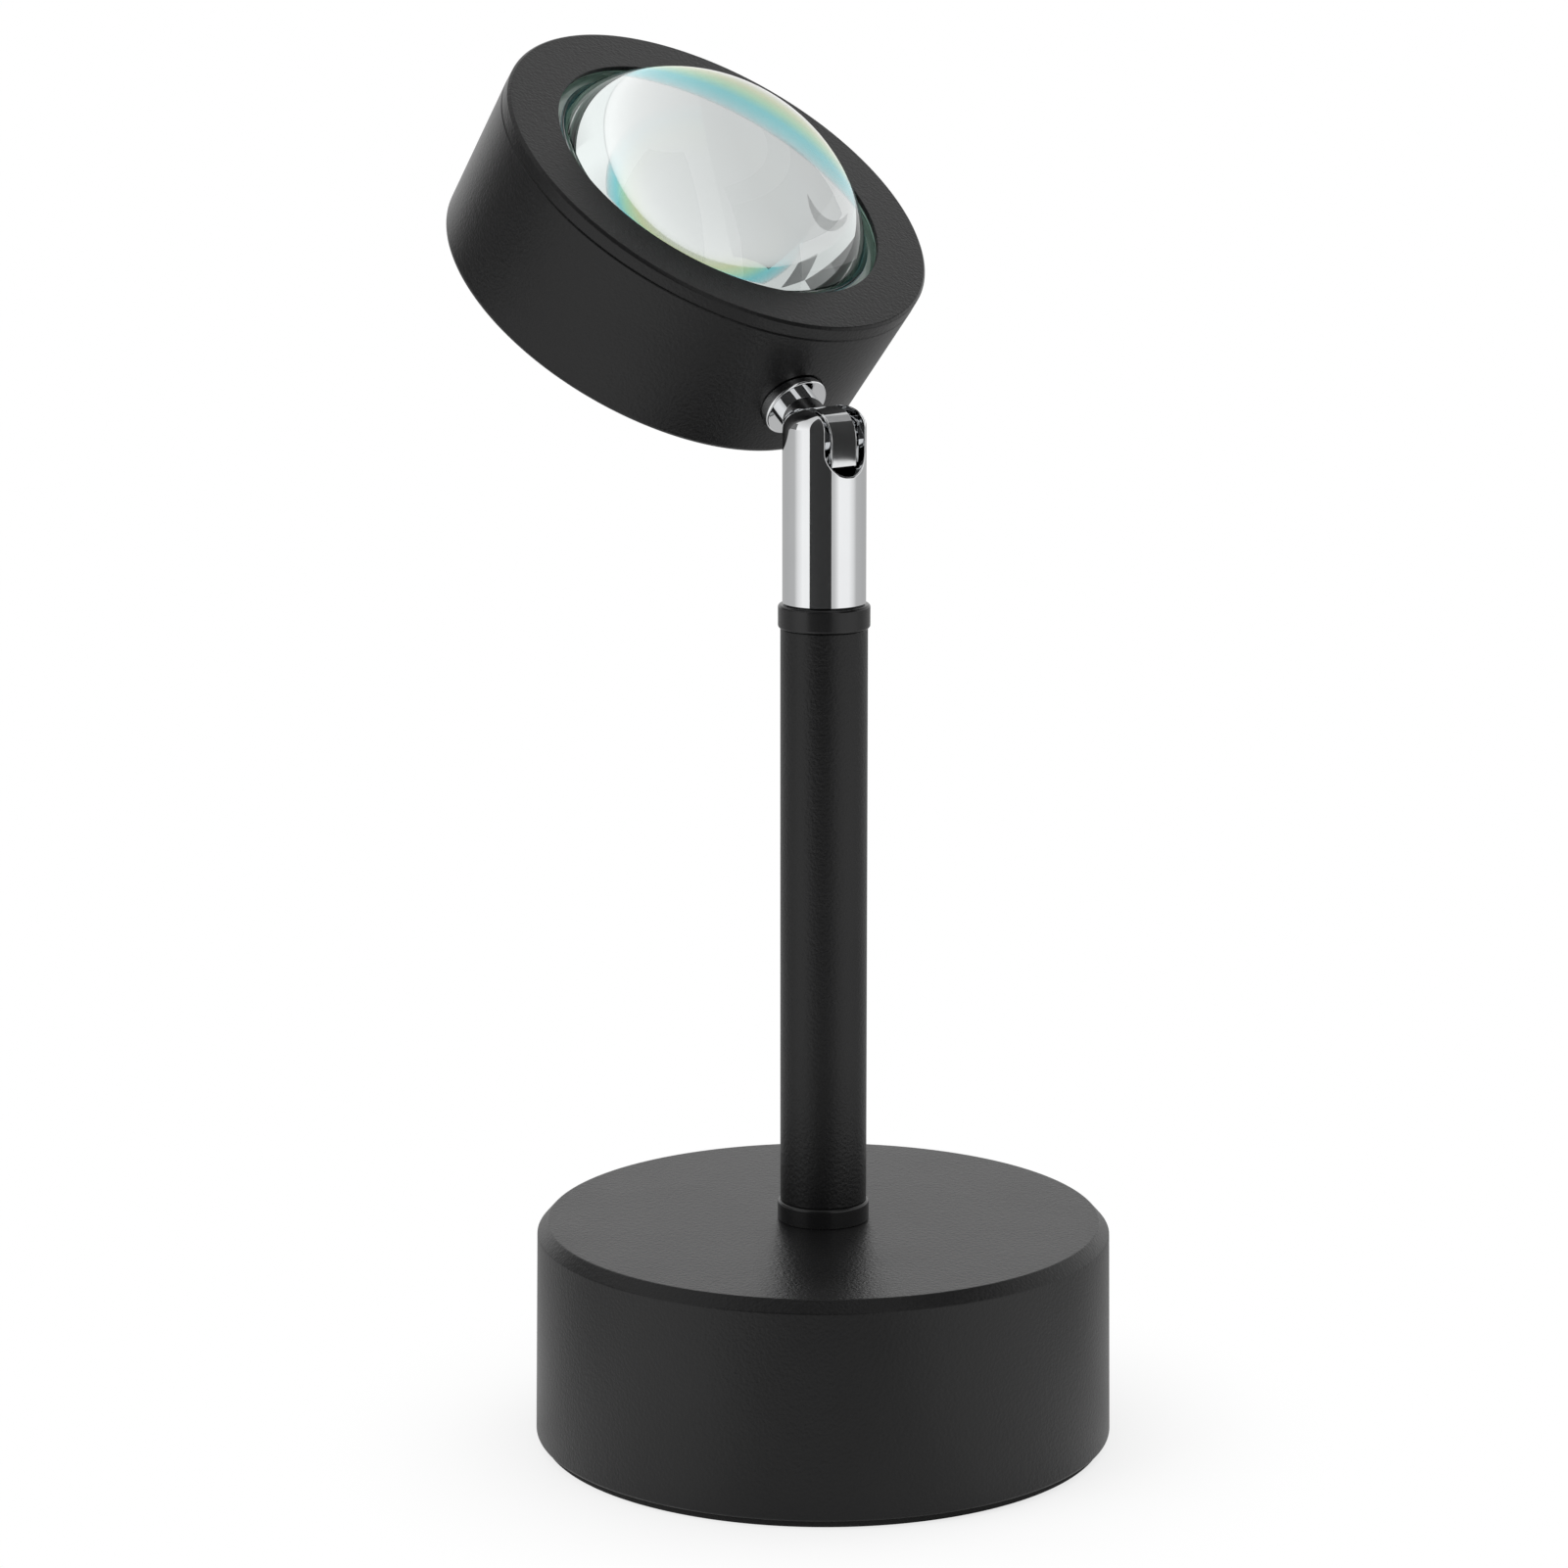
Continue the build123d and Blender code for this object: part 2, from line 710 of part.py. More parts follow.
# Gasket: a silicone ring with a U section that wraps the flange of the lens
with BuildPart() as lens_gasket:
    revolve(
        section(
            head_section,
            (bezel_bore + gasket_inset, -bezel_lip),
            (gasket_radius, -bezel_lip),
            (gasket_radius, filter_back),
            (filter_ring, filter_back),
            (filter_ring, lens_back),
            (lens_radius + fit_gap, lens_back),
            (lens_radius + fit_gap, flange_front),
            (bezel_bore + gasket_inset, flange_front),
        ),
        axis=head_axis,
    )

with BuildPart() as filter_disc:
    with BuildSketch(head_plane.offset(lens_back)):
        Circle(filter_ring - loose_gap)
    extrude(amount=-filter_thickness)

# Light baffle: a funnel from the emitter to the filter, on a skirt around the board
mouth_radius = baffle_mouth / 2
throat_radius = baffle_throat / 2
skirt_radius = skirt_diameter / 2
cone_run = mouth_radius - throat_radius
cone_rise = filter_back - throat_depth
cone_slant = hypot(cone_run, cone_rise)
shift_out = baffle_wall * cone_rise / cone_slant
shift_back = baffle_wall * cone_run / cone_slant


def cone_back(radius):
    """Depth of the funnel's rear surface at a radius."""
    return throat_depth - shift_back + (radius - throat_radius - shift_out) * cone_rise / cone_run


def cone_back_radius(depth):
    """Radius of the funnel's rear surface at a depth."""
    return throat_radius + shift_out + (depth - throat_depth + shift_back) * cone_run / cone_rise


flange_back = filter_back - baffle_flange
with BuildPart() as light_baffle:
    revolve(
        section(
            head_section,
            (mouth_radius, filter_back),
            (lens_radius, filter_back),
            (lens_radius, flange_back),
            (cone_back_radius(flange_back), flange_back),
            (skirt_radius, cone_back(skirt_radius)),
            (skirt_radius, casing_floor),
            (skirt_radius - baffle_wall, casing_floor),
            (skirt_radius - baffle_wall, cone_back(skirt_radius - baffle_wall)),
            (throat_radius + shift_out, throat_depth - shift_back),
            (throat_radius, throat_depth),
        ),
        axis=head_axis,
    )
    with BuildSketch(head_plane.offset(casing_floor)):
        with Locations((skirt_radius, 0)):
            Rectangle(2 * baffle_wall + wire_notch, wire_notch)
    extrude(amount=board_front - casing_floor + wire_notch / 2, mode=Mode.SUBTRACT)

# Light source: emitter on a metal-core board, screwed over a thermal pad
with BuildPart() as thermal_pad:
    with BuildSketch(head_plane.offset(casing_floor)):
        Circle(board_diameter / 2)
        with PolarLocations(board_screw_circle / 2, 2, start_angle=90):
            Circle(board_screw_diameter / 2 + fit_gap, mode=Mode.SUBTRACT)
    extrude(amount=thermal_pad_thickness)

with BuildPart() as led_board:
    with BuildSketch(head_plane.offset(board_back)):
        Circle(board_diameter / 2)
        with PolarLocations(board_screw_circle / 2, 2, start_angle=90):
            Circle(board_screw_diameter / 2 + fit_gap, mode=Mode.SUBTRACT)
    extrude(amount=board_thickness)

with BuildPart() as led_emitter:
    with BuildSketch(head_plane.offset(board_front)):
        Circle(emitter_diameter / 2)
    extrude(amount=emitter_base)
    with BuildSketch(head_plane.offset(board_front + emitter_base)):
        Circle(emitter_window / 2)
    extrude(amount=emitter_dome)
    fillet(led_emitter.edges().filter_by(GeomType.CIRCLE).sort_by(head_axis)[-1], emitter_dome / 2)

with BuildPart() as board_screws:
    with BuildSketch(head_plane.offset(board_front)):
        with PolarLocations(board_screw_circle / 2, 2, start_angle=90):
            Circle(board_screw_head / 2)
    extrude(amount=board_screw_head_height)
    with BuildSketch(head_plane.offset(board_front)):
        with PolarLocations(board_screw_circle / 2, 2, start_angle=90):
            Circle(board_screw_diameter / 2)
    extrude(amount=-(board_thickness + thermal_pad_thickness + board_screw_bite))

# Twin wires from the board, under the funnel and into the hollow neck
wire_radius = wire_diameter / 2
wire_floor = board_front + wire_radius
with BuildPart() as head_lead:
    for side in (-1, 1):
        with BuildLine(head_section.offset(side * wire_pitch / 2)) as route:
            FilletPolyline(
                (wire_start, wire_floor),
                (wire_knee, wire_floor),
                (wire_knee + wire_rise, -neck_setback),
                (head_reach - neck_stud_end + wire_reach, -neck_setback),
                radius=wire_bend,
            )
        with BuildSketch(Plane(route.line ^ 0)):
            Circle(wire_radius)
        sweep()

pieces = {
    "base_shell": base_shell,
    "base_weight": base_weight,
    "base_plate": base_plate,
    "base_plate_screws": base_plate_screws,
    "foot_pad": foot_pad,
    "cord_gland": cord_gland,
    "terminal_block": terminal_block,
    "terminal_screws": terminal_screws,
    "stem_nipple": stem_nipple,
    "base_washer": base_washer,
    "base_nut": base_nut,
    "lower_collar": lower_collar,
    "pole_tube": pole_tube,
    "upper_collar": upper_collar,
    "stem_lead": stem_lead,
    "swivel_sleeve": swivel_sleeve,
    "swivel_stud": swivel_stud,
    "swivel_washer": swivel_washer,
    "swivel_nut": swivel_nut,
    "hinge_pin": hinge_pin,
    "hinge_washers": hinge_washers,
    "knuckle": knuckle,
    "neck_flange": neck_flange,
    "saddle_washer": saddle_washer,
    "neck_nut": neck_nut,
    "head_casing": head_casing,
    "front_bezel": front_bezel,
    "lens": lens,
    "lens_gasket": lens_gasket,
    "filter_disc": filter_disc,
    "light_baffle": light_baffle,
    "thermal_pad": thermal_pad,
    "led_board": led_board,
    "led_emitter": led_emitter,
    "board_screws": board_screws,
    "head_lead": head_lead,
}

os.makedirs("parts", exist_ok=True)
for name, piece in pieces.items():
    piece.part.label = name
    export_step(piece.part, f"parts/{name}.step")

print("hinge", hinge, "neck", neck_dir, "face", face_centre, "axis", head_dir)
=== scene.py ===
"""A folding projection lamp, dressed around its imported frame.

Black powder-coated drum, stem and head, a polished chrome swivel with its fold hinge, and a deep
glass lens over a colour-shifting film. Outlines are in millimetres and meshes in metres.
"""

import json
import logging
import math
from dataclasses import dataclass
from enum import Enum
from typing import ClassVar, Iterable, Sequence

import bmesh
import bpy
from mathutils import Matrix, Vector


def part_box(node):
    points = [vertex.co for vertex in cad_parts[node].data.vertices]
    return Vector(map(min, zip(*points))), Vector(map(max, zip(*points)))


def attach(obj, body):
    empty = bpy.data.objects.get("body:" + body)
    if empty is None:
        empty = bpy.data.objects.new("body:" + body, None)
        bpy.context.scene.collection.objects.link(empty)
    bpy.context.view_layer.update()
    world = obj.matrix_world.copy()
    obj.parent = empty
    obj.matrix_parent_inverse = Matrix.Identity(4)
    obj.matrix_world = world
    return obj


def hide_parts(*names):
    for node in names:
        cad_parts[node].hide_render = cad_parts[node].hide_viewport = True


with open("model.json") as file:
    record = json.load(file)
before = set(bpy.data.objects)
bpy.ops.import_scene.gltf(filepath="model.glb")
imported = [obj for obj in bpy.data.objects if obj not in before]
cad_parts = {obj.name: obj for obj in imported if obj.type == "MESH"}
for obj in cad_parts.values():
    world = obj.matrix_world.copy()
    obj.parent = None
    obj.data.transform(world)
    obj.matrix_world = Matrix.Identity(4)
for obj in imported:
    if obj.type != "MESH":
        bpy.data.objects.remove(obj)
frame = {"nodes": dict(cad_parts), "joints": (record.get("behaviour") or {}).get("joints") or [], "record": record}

MM = 0.001
FOLD_JOINT = "head_tilt"
STEM_AXIS = Matrix.Identity(4)
MERGE = 1e-6
ARC_STEP = math.radians(11)
CREASE = math.radians(35)
COPY_CREASE = math.radians(20)
CELLS_PER_GRAIN = 0.6
CELL_HEIGHT = 0.7
LOG = logging.getLogger("projection_lamp")
Socket = bpy.types.NodeSocket


class Body(Enum):
    """The three bodies of the lamp, of which the last two move."""

    STAND = "stand"
    SWIVEL = "swivel"
    HEAD = "head"


class Cut(Enum):
    """How finely a turned piece is divided around its axis."""

    SMALL = 96
    LARGE = 224


# Node trees


class Sheet:
    """A hand on one node tree, which adds nodes and joins them."""

    def __init__(self, tree: bpy.types.NodeTree) -> None:
        """Keeps the tree and clears it."""
        self.tree = tree
        self.tree.nodes.clear()

    def add(self, kind: str, inputs: dict | None = None, **settings: object) -> bpy.types.Node:
        """Adds a node.

        Args:
            kind: the node's type name.
            inputs: sockets to link or plain values to set, by the input's name or number.
            settings: properties of the node, which are set before its inputs.

        Returns:
            The new node.
        """
        node = self.tree.nodes.new(kind)
        for name, value in settings.items():
            setattr(node, name, value)
        for label, value in (inputs or {}).items():
            self.feed(node.inputs[label], value)
        return node

    def join(self, source: Socket, target: Socket) -> None:
        """Links one socket to another."""
        self.tree.links.new(source, target)

    def feed(self, target: Socket, value: object) -> None:
        """Links a socket to a target, or sets the target where a plain value is given.

        Args:
            target: the input to link or set.
            value: the socket or the plain value.
        """
        if isinstance(value, Socket):
            self.join(value, target)
        else:
            target.default_value = value

    def math(self, operation: str, *values: object) -> Socket:
        """Adds a Math node on sockets or numbers and returns its result."""
        return self.add("ShaderNodeMath", dict(enumerate(values)), operation=operation).outputs[0]

    def mix(self, share: Socket, first: Socket, second: Socket) -> Socket:
        """Mixes two shaders, of which the second has the given share."""
        return self.add("ShaderNodeMixShader", {"Fac": share, 1: first, 2: second}).outputs[0]

    def spread(self, value: Socket, low: float, high: float) -> Socket:
        """Maps a value of 0 to 1 to the range from low to high."""
        ends = {"Value": value, "To Min": low, "To Max": high}
        return self.add("ShaderNodeMapRange", ends).outputs["Result"]

    def tint(self, value: Socket, stops: Sequence[tuple]) -> Socket:
        """Turns a value into a colour by a ramp.

        Args:
            value: the socket that drives the ramp.
            stops: pairs of a place from 0 to 1 and a colour.

        Returns:
            The ramp's colour.
        """
        node = self.add("ShaderNodeValToRGB", {"Fac": value})
        ramp = node.color_ramp
        while len(ramp.elements) < len(stops):
            ramp.elements.new(1.0)
        for element, (place, colour) in zip(ramp.elements, stops):
            element.position = place
            element.color = (*colour, 1.0)
        return node.outputs["Color"]


class Group(Sheet):
    """A sheet on a new node group with named sockets."""

    def __init__(self, name: str, kind: str, inputs: dict[str, tuple], outputs: dict[str, str]) -> None:
        """Makes the group and its own input and output nodes.

        Args:
            name: the group's name.
            kind: the tree's type.
            inputs: socket types and default values by name.
            outputs: socket types by name.
        """
        super().__init__(bpy.data.node_groups.new(name, kind))
        for label, (socket, default) in inputs.items():
            made = self.tree.interface.new_socket(label, in_out="INPUT", socket_type=socket)
            if default is not None:
                made.default_value = default
        for label, socket in outputs.items():
            self.tree.interface.new_socket(label, in_out="OUTPUT", socket_type=socket)
        self.entry = self.add("NodeGroupInput").outputs
        self.exit = self.add("NodeGroupOutput").inputs


def grain_group() -> bpy.types.NodeTree:
    """Builds the fine grain that coats and mouldings share.

    Returns:
        A shader group with the grain's height and a broad, soft patchiness.
    """
    sheet = Group(
        "FineGrain",
        "ShaderNodeTree",
        {
            "Place": ("NodeSocketVector", None),
            "Grain per metre": ("NodeSocketFloat", 2600.0),
            "Patches per metre": ("NodeSocketFloat", 55.0),
        },
        {"Height": "NodeSocketFloat", "Patch": "NodeSocketFloat"},
    )
    place, grain = sheet.entry["Place"], sheet.entry["Grain per metre"]
    fine = {"Vector": place, "Scale": grain, "Detail": 3.0, "Roughness": 0.6}
    coarse = sheet.add("ShaderNodeTexNoise", fine)
    cells = sheet.add(
        "ShaderNodeTexVoronoi",
        {"Vector": place, "Scale": sheet.math("MULTIPLY", grain, CELLS_PER_GRAIN), "Smoothness": 0.6},
        feature="SMOOTH_F1",
    )
    relief = sheet.math("MULTIPLY", cells.outputs["Distance"], CELL_HEIGHT)
    sheet.join(sheet.math("ADD", coarse.outputs["Fac"], relief), sheet.exit["Height"])
    patches = {"Vector": place, "Scale": sheet.entry["Patches per metre"], "Detail": 4.0}
    sheet.join(sheet.add("ShaderNodeTexNoise", patches).outputs["Fac"], sheet.exit["Patch"])
    return sheet.tree


def lines_group() -> bpy.types.NodeTree:
    """Builds the faint streaks that polishing and turning leave.

    Returns:
        A shader group with a streak mask, drawn out by the stretch that it is given.
    """
    sheet = Group(
        "ToolLines",
        "ShaderNodeTree",
        {"Place": ("NodeSocketVector", None), "Stretch": ("NodeSocketVector", (1.0, 1.0, 1.0))},
        {"Streak": "NodeSocketFloat"},
    )
    ends = {0: sheet.entry["Place"], 1: sheet.entry["Stretch"]}
    drawn = sheet.add("ShaderNodeVectorMath", ends, operation="MULTIPLY").outputs["Vector"]
    noise = sheet.add("ShaderNodeTexNoise", {"Vector": drawn, "Scale": 1.0, "Detail": 2.0})
    sheet.join(noise.outputs["Fac"], sheet.exit["Streak"])
    return sheet.tree


def turning_tree() -> bpy.types.NodeTree:
    """Builds the tree that turns an outline of (radius, 0, along) points about the Z axis.

    Returns:
        A geometry tree with inputs for the divisions, the merge distance, the crease and the finish.
    """
    sheet = Group(
        "TurnedPiece",
        "GeometryNodeTree",
        {
            "Outline": ("NodeSocketGeometry", None),
            "Divisions": ("NodeSocketInt", 128),
            "Merge distance": ("NodeSocketFloat", MERGE),
            "Crease": ("NodeSocketFloat", CREASE),
            "Finish": ("NodeSocketMaterial", None),
        },
        {"Piece": "NodeSocketGeometry"},
    )
    shape, divisions = sheet.entry["Outline"], sheet.entry["Divisions"]
    count = sheet.add("GeometryNodeAttributeDomainSize", {"Geometry": shape}).outputs["Point Count"]
    spans = sheet.math("SUBTRACT", count, 1.0)
    grid = sheet.add(
        "GeometryNodeMeshGrid",
        {
            "Size X": spans,
            "Size Y": divisions,
            "Vertices X": count,
            "Vertices Y": sheet.math("ADD", divisions, 1.0),
        },
    )
    position = sheet.add("GeometryNodeInputPosition").outputs[0]
    split = sheet.add("ShaderNodeSeparateXYZ", {0: position}).outputs
    half = sheet.math("MULTIPLY", spans, 0.5)
    sample = sheet.add(
        "GeometryNodeSampleIndex",
        {
            "Geometry": shape,
            "Value": sheet.add("GeometryNodeInputPosition").outputs[0],
            "Index": sheet.math("ROUND", sheet.math("ADD", split["X"], half)),
        },
        data_type="FLOAT_VECTOR",
        domain="POINT",
    )
    point = sheet.add("ShaderNodeSeparateXYZ", {0: sample.outputs["Value"]}).outputs
    angle = sheet.math("MULTIPLY", sheet.math("DIVIDE", split["Y"], divisions), 2 * math.pi)
    spot = sheet.add(
        "ShaderNodeCombineXYZ",
        {
            "X": sheet.math("MULTIPLY", point["X"], sheet.math("COSINE", angle)),
            "Y": sheet.math("MULTIPLY", point["X"], sheet.math("SINE", angle)),
            "Z": point["Z"],
        },
    )
    lay = {"Geometry": grid.outputs["Mesh"], "Position": spot.outputs[0]}
    laid = sheet.add("GeometryNodeSetPosition", lay).outputs[0]
    merge = {"Geometry": laid, "Distance": sheet.entry["Merge distance"]}
    merged = sheet.add("GeometryNodeMergeByDistance", merge).outputs[0]
    smooth = sheet.add("GeometryNodeSetShadeSmooth", {"Geometry": merged}, domain="FACE").outputs[0]
    bend = sheet.add("GeometryNodeInputMeshEdgeAngle").outputs["Unsigned Angle"]
    soft = {"Geometry": smooth, "Shade Smooth": sheet.math("LESS_THAN", bend, sheet.entry["Crease"])}
    creased = sheet.add("GeometryNodeSetShadeSmooth", soft, domain="EDGE").outputs[0]
    real = sheet.add("GeometryNodeRealizeInstances", {"Geometry": creased}).outputs[0]
    dress = sheet.add("GeometryNodeSetMaterial", {"Geometry": real, "Material": sheet.entry["Finish"]})
    sheet.join(dress.outputs[0], sheet.exit["Piece"])
    return sheet.tree


# Finishes


class Blank(Sheet):
    """A new material, with its shader, its output and the fine grain over the piece."""

    def __init__(self, slot: str, shop: "Shop") -> None:
        """Starts the material.

        Args:
            slot: the record's material slot.
            shop: the shared node groups.
        """
        self.material = bpy.data.materials.new(f"finish_{slot}")
        self.material.use_nodes = True
        super().__init__(self.material.node_tree)
        shader = self.add("ShaderNodeBsdfPrincipled")
        self.surface = shader.inputs
        self.out = self.add("ShaderNodeOutputMaterial", {"Surface": shader.outputs[0]})
        self.place = self.add("ShaderNodeTexCoord").outputs["Object"]
        self.grain = self.add("ShaderNodeGroup", {"Place": self.place}, node_tree=shop.grain)
        self.patch = self.grain.outputs["Patch"]


def grey(tone: float) -> tuple[float, float, float, float]:
    """An opaque grey as a colour."""
    return (tone, tone, tone, 1.0)


@dataclass(frozen=True)
class Coat:
    """A coated, moulded or plated finish: a colour that varies a little, over a fine grain.

    Attributes:
        slot: the record's material slot.
        dark: the colour in the hollows of the patchiness.
        light: the colour on its crests.
        rough: the roughness range over the patchiness.
        grain: grains per metre.
        patches: patches per metre.
        bump: the grain's height in metres.
        metal: the Metallic value.
        specular: the Specular IOR Level.
        stretch: streaks per metre along each axis, or none.
        streak: how far the streaks move the roughness.
        patch_ends: the patchiness at which the colour is darkest and lightest.
    """

    slot: str
    dark: tuple[float, float, float]
    light: tuple[float, float, float]
    rough: tuple[float, float] = (0.45, 0.55)
    grain: float = 2600.0
    patches: float = 55.0
    bump: float = 0.00002
    metal: float = 0.0
    specular: float = 0.5
    stretch: tuple[float, float, float] | None = None
    streak: float = 0.0
    patch_ends: tuple[float, float] = (0.3, 0.7)

    def build(self, shop: "Shop") -> bpy.types.Material:
        """Makes the material.

        Args:
            shop: the shared node groups.

        Returns:
            The finished material.
        """
        sheet = Blank(self.slot, shop)
        surface = sheet.surface
        surface["Metallic"].default_value = self.metal
        surface["Specular IOR Level"].default_value = self.specular
        sheet.grain.inputs["Grain per metre"].default_value = self.grain
        sheet.grain.inputs["Patches per metre"].default_value = self.patches
        stops = list(zip(self.patch_ends, (self.dark, self.light)))
        sheet.join(sheet.tint(sheet.patch, stops), surface["Base Color"])
        rough = sheet.spread(sheet.patch, *self.rough)
        if self.stretch:
            drawn = {"Place": sheet.place, "Stretch": self.stretch}
            streak = sheet.add("ShaderNodeGroup", drawn, node_tree=shop.lines).outputs["Streak"]
            rough = sheet.math("ADD", rough, sheet.spread(streak, -self.streak, self.streak))
        sheet.join(rough, surface["Roughness"])
        relief = {"Strength": 1.0, "Distance": self.bump, "Height": sheet.grain.outputs["Height"]}
        sheet.join(sheet.add("ShaderNodeBump", relief).outputs["Normal"], surface["Normal"])
        return sheet.material


@dataclass(frozen=True)
class LensGlass:
    """Clear crown glass that turns green where the light's way through it is long.

    Attributes:
        slot: the record's material slot.
        ior: refractive index.
        depth_tint: the colour that long ways tend to.
        depth: absorption per metre.
        smear: the roughness range over faint smears.
    """

    slot: str = "lens_glass"
    ior: float = 1.51
    depth_tint: tuple[float, float, float] = (0.72, 0.94, 0.89)
    depth: float = 4.5
    smear: tuple[float, float] = (0.0, 0.004)

    def build(self, shop: "Shop") -> bpy.types.Material:
        """Makes the material.

        Args:
            shop: the shared node groups.

        Returns:
            The finished material.
        """
        sheet = Blank(self.slot, shop)
        surface = sheet.surface
        surface["Base Color"].default_value = grey(1.0)
        surface["Transmission Weight"].default_value = 1.0
        surface["IOR"].default_value = self.ior
        sheet.join(sheet.spread(sheet.patch, *self.smear), surface["Roughness"])
        depth = {"Color": (*self.depth_tint, 1.0), "Density": self.depth}
        sheet.join(sheet.add("ShaderNodeVolumeAbsorption", depth).outputs[0], sheet.out.inputs["Volume"])
        return sheet.material


@dataclass(frozen=True)
class ColourFilm:
    """A mirror-like colour-shifting film: cyan at a grazing look, yellow nearer, pale face on.

    Attributes:
        slot: the record's material slot.
        shift: places from face on, 0, to grazing, 1, with the film's colour there.
        metal: how much of the film's face mirrors like metal.
        rough: the roughness range over faint smears.
    """

    slot: str = "colour_filter"
    shift: tuple = (
        (0.14, (0.93, 0.92, 0.88)),
        (0.30, (0.80, 0.86, 0.52)),
        (0.42, (0.53, 0.88, 0.60)),
        (0.56, (0.19, 0.78, 0.84)),
        (0.95, (0.40, 0.84, 0.92)),
    )
    metal: float = 0.9
    rough: tuple[float, float] = (0.0, 0.003)

    def build(self, shop: "Shop") -> bpy.types.Material:
        """Makes the material.

        Args:
            shop: the shared node groups.

        Returns:
            The finished material.
        """
        sheet = Blank(self.slot, shop)
        surface = sheet.surface
        facing = sheet.add("ShaderNodeLayerWeight").outputs["Facing"]
        sheet.join(sheet.tint(facing, self.shift), surface["Base Color"])
        surface["Metallic"].default_value = self.metal
        sheet.join(sheet.spread(sheet.patch, *self.rough), surface["Roughness"])
        return sheet.material


COATS = (
    Coat(
        "black_paint", (0.0055, 0.0055, 0.0057), (0.008, 0.008, 0.0083),
        rough=(0.30, 0.36), grain=2900.0, bump=0.00005, specular=0.34,
    ),
    Coat(
        "black_collar", (0.007, 0.007, 0.0073), (0.010, 0.010, 0.0104), rough=(0.22, 0.27), specular=0.4,
        grain=1800.0, bump=0.000002, stretch=(60.0, 60.0, 9000.0), streak=0.04,
    ),
    Coat(
        "chrome", (0.80, 0.81, 0.82), (0.86, 0.87, 0.88), rough=(0.025, 0.06), grain=700.0,
        bump=0.0000004, metal=1.0, stretch=(5200.0, 5200.0, 60.0), streak=0.015,
    ),
    Coat(
        "cast_weight", (0.11, 0.11, 0.115), (0.19, 0.19, 0.195), rough=(0.55, 0.75),
        grain=900.0, bump=0.00012, metal=0.6,
    ),
    Coat(
        "zinc_steel", (0.52, 0.53, 0.54), (0.66, 0.67, 0.68), rough=(0.28, 0.42), metal=1.0,
        bump=0.000004, stretch=(900.0, 900.0, 6000.0), streak=0.06,
    ),
    Coat(
        "brass", (0.62, 0.46, 0.20), (0.78, 0.61, 0.30), rough=(0.22, 0.36), metal=1.0,
        bump=0.000003, stretch=(6000.0, 900.0, 900.0), streak=0.05,
    ),
    Coat(
        "foot_rubber", (0.012, 0.012, 0.012), (0.024, 0.024, 0.024), rough=(0.75, 0.9),
        grain=1500.0, bump=0.00009, specular=0.3,
    ),
    Coat(
        "gland_rubber", (0.015, 0.015, 0.015), (0.028, 0.028, 0.028), rough=(0.5, 0.66),
        grain=2200.0, bump=0.00003, specular=0.35,
    ),
    # Painted light: the gasket is coloured a light grey-green, though the silicone itself is black, to stand in
    # for light passing through the green glass edge in front of it.
    Coat(
        "gasket_silicone", (0.16, 0.27, 0.22), (0.24, 0.37, 0.31), rough=(0.38, 0.5),
        grain=1800.0, bump=0.00001,
    ),
    Coat(
        "white_plastic", (0.78, 0.78, 0.77), (0.86, 0.86, 0.85), rough=(0.35, 0.48),
        grain=1600.0, bump=0.000006,
    ),
    Coat(
        "friction_plastic", (0.74, 0.73, 0.68), (0.82, 0.81, 0.77), rough=(0.4, 0.55),
        grain=1500.0, bump=0.000008,
    ),
    Coat(
        "lead_sheath", (0.02, 0.02, 0.02), (0.035, 0.035, 0.035), rough=(0.45, 0.6),
        grain=2000.0, bump=0.00001,
    ),
    Coat(
        "board_metal", (0.80, 0.81, 0.80), (0.88, 0.88, 0.87), rough=(0.3, 0.42),
        grain=1200.0, bump=0.000005,
    ),
    Coat(
        "emitter_phosphor", (0.86, 0.66, 0.14), (0.95, 0.79, 0.24), rough=(0.4, 0.5),
        grain=3000.0, bump=0.00003,
    ),
)


class Shop:
    """The shared node groups, and one material for each slot of the record."""

    def __init__(self) -> None:
        """Builds the groups, the turning tree and every finish."""
        self.grain = grain_group()
        self.lines = lines_group()
        self.turning = turning_tree()
        finishes = (*COATS, LensGlass(), ColourFilm())
        self.finish = {finish.slot: finish.build(self) for finish in finishes}

    def dress_nodes(self, nodes: dict[str, bpy.types.Object], record: dict) -> None:
        """Gives each node of the frame the finish of its slot.

        Args:
            nodes: the frame's nodes by name.
            record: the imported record, which names each node's slot.
        """
        for part in record["subparts"]:
            slots = nodes[part["node"]].material_slots
            for slot in slots:
                slot.material = self.finish[part["material_slot"]]


# Mesh making


@dataclass(frozen=True)
class Corner:
    """A corner of a turned outline, in millimetres.

    Attributes:
        radius: distance from the turning axis.
        along: distance along the axis.
        round: radius of the arc that rounds the corner.
    """

    radius: float
    along: float
    round: float = 0.0


def corner_arc(before: Corner, corner: Corner, after: Corner) -> list[tuple[float, float]]:
    """Rounds one corner of an outline.

    Args:
        before: the corner before it.
        corner: the corner to round.
        after: the corner after it.

    Returns:
        The points of the arc, or the bare corner where it isn't rounded.
    """
    at = Vector((corner.radius, corner.along))
    if corner.round <= 0:
        return [tuple(at)]
    to_before = (Vector((before.radius, before.along)) - at).normalized()
    to_after = (Vector((after.radius, after.along)) - at).normalized()
    half = to_before.angle(to_after) / 2
    reach = corner.round / math.tan(half)
    centre = at + (to_before + to_after).normalized() * (corner.round / math.sin(half))
    first = at + to_before * reach - centre
    sweep = first.angle_signed(at + to_after * reach - centre)
    steps = max(2, math.ceil(abs(sweep) / ARC_STEP))
    points = []
    for step in range(steps + 1):
        turn = Matrix.Rotation(-sweep * step / steps, 2)
        points.append(tuple(centre + turn @ first))
    return points


